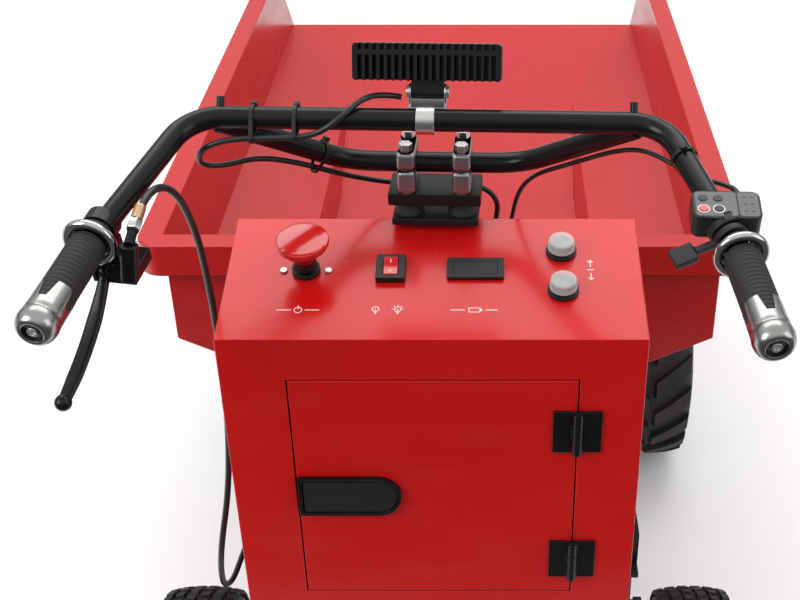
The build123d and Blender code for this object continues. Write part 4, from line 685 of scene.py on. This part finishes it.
bell_profile = [(0.0062, 0.0165), (0.0085, 0.0185), (0.0092, 0.0215), (0.0086, 0.0240), (0.0066, 0.0255),
                (0.0040, 0.0256), (0.0018, 0.0246), (0.0002, 0.0232), (-0.0018, 0.0212), (-0.0034, 0.0192),
                (-0.0044, 0.0168), (-0.0046, 0.0113)]
collar_profile = [(-0.0046, 0.0114), (-0.0046, 0.0152), (-0.0052, 0.0160), (-0.0086, 0.0160),
                  (-0.0100, 0.0150), (-0.0102, 0.0114)]
sleeve_profile = [(0.0090, 0.0112), (0.0090, 0.0166)]
for rib in range(18):
    start = 0.0100 + 0.0052 * rib
    sleeve_profile += [(start, 0.0160), (start + 0.0008, 0.0169), (start + 0.0036, 0.0170), (start + 0.0044, 0.0160)]
sleeve_profile += [(0.1040, 0.0160), (0.1045, 0.0112)]


def end_sleeve():
    """Aluminium end: a barrel with a recess, darkened by a separate black lining as painted shade, and four tapering
    tongues over the rubber.
    """
    rows = [(0.0, 0.0160), (0.0, 0.01745), (0.33, 0.0175), (0.66, 0.0175), (1.0, 0.0175)]
    barrel = [(0.0985, 0.0176), (0.1040, 0.0178), (0.1055, 0.0172), (0.1066, 0.0176), (0.1090, 0.0184),
              (0.1125, 0.0187), (0.1165, 0.0182), (0.1200, 0.0170), (0.1230, 0.0150), (0.1245, 0.0128),
              (0.1247, 0.0108), (0.1238, 0.0096), (0.1200, 0.0094), (0.1190, 0.0)]
    shape = bmesh.new()
    columns = []
    for step in range(96):
        turn = 2 * pi * step / 96
        off = abs((turn / (pi / 2)) % 1.0 - 0.5)
        share = min(1.0, max(0.0, (0.36 - off) / 0.10))
        start = 0.0940 - 0.0190 * share
        profile = [(start + (0.0950 - start) * part, radius) for part, radius in rows] + barrel
        columns.append([shape.verts.new((r * cos(turn), r * sin(turn), z)) for z, r in profile])
    for first, second in zip(columns, columns[1:] + columns[:1]):
        for near, far in zip(zip(first, second), zip(first[1:], second[1:])):
            shape.faces.new((near[0], near[1], far[1], far[0]))
    bmesh.ops.remove_doubles(shape, verts=shape.verts, dist=1e-6)
    bmesh.ops.recalc_face_normals(shape, faces=shape.faces)
    return shape


polished_finish = plated("polished_aluminium", (0.36, 0.355, 0.345), 0.24, (1, 1, 0.05), 0.08)
for side, suffix in ((LEFT, "left"), (RIGHT, "right")):
    place = on_grip(side)
    placed("bell_" + suffix, turned(bell_profile, 72), "chassis", chrome_finish, "grip_flanges",
           sharp=50, matrix=place)
    placed("bell_collar_" + suffix, turned(collar_profile, 48), "chassis", black_finish,
           "grip_flanges", matrix=place)
    placed("grip_sleeve_" + suffix, turned(sleeve_profile, 64), "chassis", grip_finish,
           "grip_rubbers", sharp=60, matrix=place)
    # Painted shade: a black lining is laid over the floor and wall of the end's recess so that the recess reads dark.
    placed("grip_recess_" + suffix, turned([(0.1193, 0.0), (0.1193, 0.0035), (0.1188, 0.0036), (0.1188, 0.0048),
                                            (0.1195, 0.0052), (0.1195, 0.0088), (0.1240, 0.0094)], 40),
           "chassis", black_finish, "grip_end_caps", matrix=place)
    placed("grip_end_" + suffix, end_sleeve(), "chassis", polished_finish,
           "grip_end_caps", sharp=50, matrix=place)
dressed("brake_casting", "brake_perch", bar_finish, 0.0006)
brass_finish = plated("brass_crimp", (0.66, 0.43, 0.24), 0.25, (1, 1, 1))
hose_start, hose_way = Vector((-0.2602, -0.6936, 0.9891)), Vector((0.0039, 0.0298, 0.0139))
hose_place = Matrix.Translation(hose_start) @ hose_way.to_track_quat("Z", "Y").to_matrix().to_4x4()
crimp_profile = [(-0.001, 0.0038), (-0.001, 0.0054), (0.0015, 0.0056), (0.003, 0.0053), (0.0045, 0.0056),
                 (0.006, 0.0053), (0.0075, 0.0056), (0.009, 0.0053), (0.0105, 0.0056), (0.0145, 0.0052),
                 (0.015, 0.0038)]
placed("hose_crimp", turned(crimp_profile, 32), "chassis", brass_finish, matrix=hose_place)
placed("hose_nut", turned([(-0.012, 0.0), (-0.012, 0.0058), (-0.011, 0.0066), (-0.003, 0.0066), (-0.001, 0.0058), (-0.001, 0.0)], 6),
       "chassis", zinc_finish, matrix=hose_place)


def lever_blade():
    """Flat glossy blade with rounded edges that bends down and out to a ball."""
    start, bend, tip = Vector((0.006, -0.034, 0.004)), Vector((0.004, -0.076, 0.052)), Vector((-0.003, -0.095, 0.113))
    shape = bmesh.new()
    rings = []
    for step in range(41):
        t = step / 40
        middle = start * (1 - t) ** 2 + bend * (2 * t * (1 - t)) + tip * t ** 2
        along = ((bend - start) * (1 - t) + (tip - bend) * t).normalized()
        over = along.cross(Vector((1, 0, 0))).normalized()
        wide = 0.0045 + 0.0028 * min(1.0, t / 0.35) - 0.0014 * max(0.0, (t - 0.8) / 0.2)
        thick = 0.0042 - 0.0014 * min(1.0, t / 0.3)
        rings.append([shape.verts.new(middle + Vector((1, 0, 0)) * wide * cos(a) * abs(cos(a)) ** -0.4
                                      + over * thick * sin(a) * abs(sin(a)) ** -0.25)
                      for a in [2 * pi * (k + 0.5) / 20 for k in range(20)]])
    for first, second in zip(rings, rings[1:]):
        for near, far, near_next, far_next in zip(first, second, first[1:] + first[:1], second[1:] + second[:1]):
            shape.faces.new((near, far, far_next, near_next))
    shape.faces.new(rings[0])
    shape.faces.new(rings[-1])
    bmesh.ops.create_uvsphere(shape, u_segments=24, v_segments=14, radius=0.0078, matrix=Matrix.Translation(tip))
    hub = turned([(-0.0048, 0.0031), (-0.0048, 0.0064), (-0.0042, 0.0070), (0.0042, 0.0070), (0.0048, 0.0064),
                  (0.0048, 0.0031), (-0.0048, 0.0031)], 32, (1, 0, 0))
    bmesh.ops.translate(hub, vec=start, verts=hub.verts)
    mesh = bpy.data.meshes.new("hub")
    hub.to_mesh(mesh)
    hub.free()
    shape.from_mesh(mesh)
    bpy.data.meshes.remove(mesh)
    bmesh.ops.recalc_face_normals(shape, faces=shape.faces)
    return shape


placed("brake_blade", lever_blade(), "brake_lever", bar_finish, "brake_lever", sharp=60,
       matrix=on_grip(LEFT))
dressed("throttle_thumb", "throttle_paddle", black_finish, 0.0012)
dressed("console_case", "console_housing", black_finish, 0.0015)
key_finish = rubbery("key_grey", (0.035, 0.035, 0.038), 0.5, 500.0, 0.0002)
face_finish = Finish("console_face", Base_Color=rgb(0.12, 0.12, 0.125), Roughness=0.45)
face_finish.feed(
    Base_Color=face_finish.mix(face_finish.axis(0).above(0.3015),
                               face_finish.mix(face_finish.noise(40.0), rgb(0.085, 0.085, 0.09), rgb(0.11, 0.11, 0.115)),
                               face_finish.mix(face_finish.noise(40.0), rgb(0.26, 0.26, 0.265), rgb(0.32, 0.32, 0.325))),
    Roughness=0.38 + 0.14 * face_finish.noise(600.0))
face_finish.bumped(face_finish.noise(900.0, 1.0), 0.00008, 0.3)


arm_start, arm_end = Vector((0.231, -0.5631, 1.027)), Vector((0.289, -0.7201, 0.977))
console_middle = arm_end - (arm_end - arm_start).normalized() * 0.041 + Vector((0.004, 0, 0.0155))
console_place = bar_turn @ Matrix.Translation(console_middle) @ Matrix.Rotation(radians(12), 4, "X")
for name, x, width, finish in (("console_face_dark", -0.0095, 0.037, face_finish), ("console_face_light", 0.0195, 0.018, face_finish)):
    placed(name, rounded_plate((width, 0.033), 0.003, 0.0003), "chassis", finish,
           "console_housing", matrix=console_place @ Matrix.Translation((x, 0, 0)))
for name, x, y in (("key_ring_left", -0.021, -0.007), ("key_ring_right", -0.0075, -0.007)):
    placed(name, flat_ring(0.0047, 0.0055, 0.0005), "chassis", print_finish,
           "console_housing", matrix=console_place @ Matrix.Translation((x, y, 0)))
for row in range(3):
    for column in range(2):
        placed(f"console_mark_{row}_{column}", rounded_plate((0.0034, 0.0014), 0.0005, 0.0005, steps=3), "chassis",
               key_finish, "console_housing",
               matrix=console_place @ Matrix.Translation((0.0165 + 0.0065 * column, 0.0095 - 0.0095 * row, 0)))
for number in range(1, 5):
    dressed(f"console_button_{number}", f"console_key_{number}",
            red_plastic if number == 3 else key_finish, 0.0005)


# ---- Lamp ----
# A die-cast light bar with cooling fins at the back and a clear lens in front, tilting on a
# zinc plated U bracket clamped to the main bar.

lamp_finish = powder_coat("lamp_black", (0.006, 0.006, 0.007), 0.38, 0.01)
dressed("lamp_casting", "lamp_housing", lamp_finish, 0.0006)
lamp_place = (bar_turn @ Matrix.Translation((0, -0.5311, 1.043)) @ Matrix.Rotation(radians(-20), 4, "X"))
rib = rounded_plate((0.140, 0.0050), 0.0022, 0.0030)
placed("lamp_cross_rib", rib, "lamp", lamp_finish, "lamp_housing",
       matrix=lamp_place @ Matrix.Translation((0, -0.0148, 0.0385)) @ Matrix.Rotation(radians(90), 4, "X"))
dressed("lamp_clamp", "lamp_bracket", zinc_finish, 0.0006)


# ---- Tub ----
# One folded and welded steel hopper with an outward rim, in the same glossy red, on two channels
# that carry its pivots and the actuator's slotted ears.

tub_finish = powder_coat("tub_red", (0.49, 0.006, 0.006), 0.24, 0.02, 0.5)
dressed("tub_sheet", "tub_shell", tub_finish, 0.0018)
dressed("tub_channels", "tub_rails", tub_finish, 0.0010)
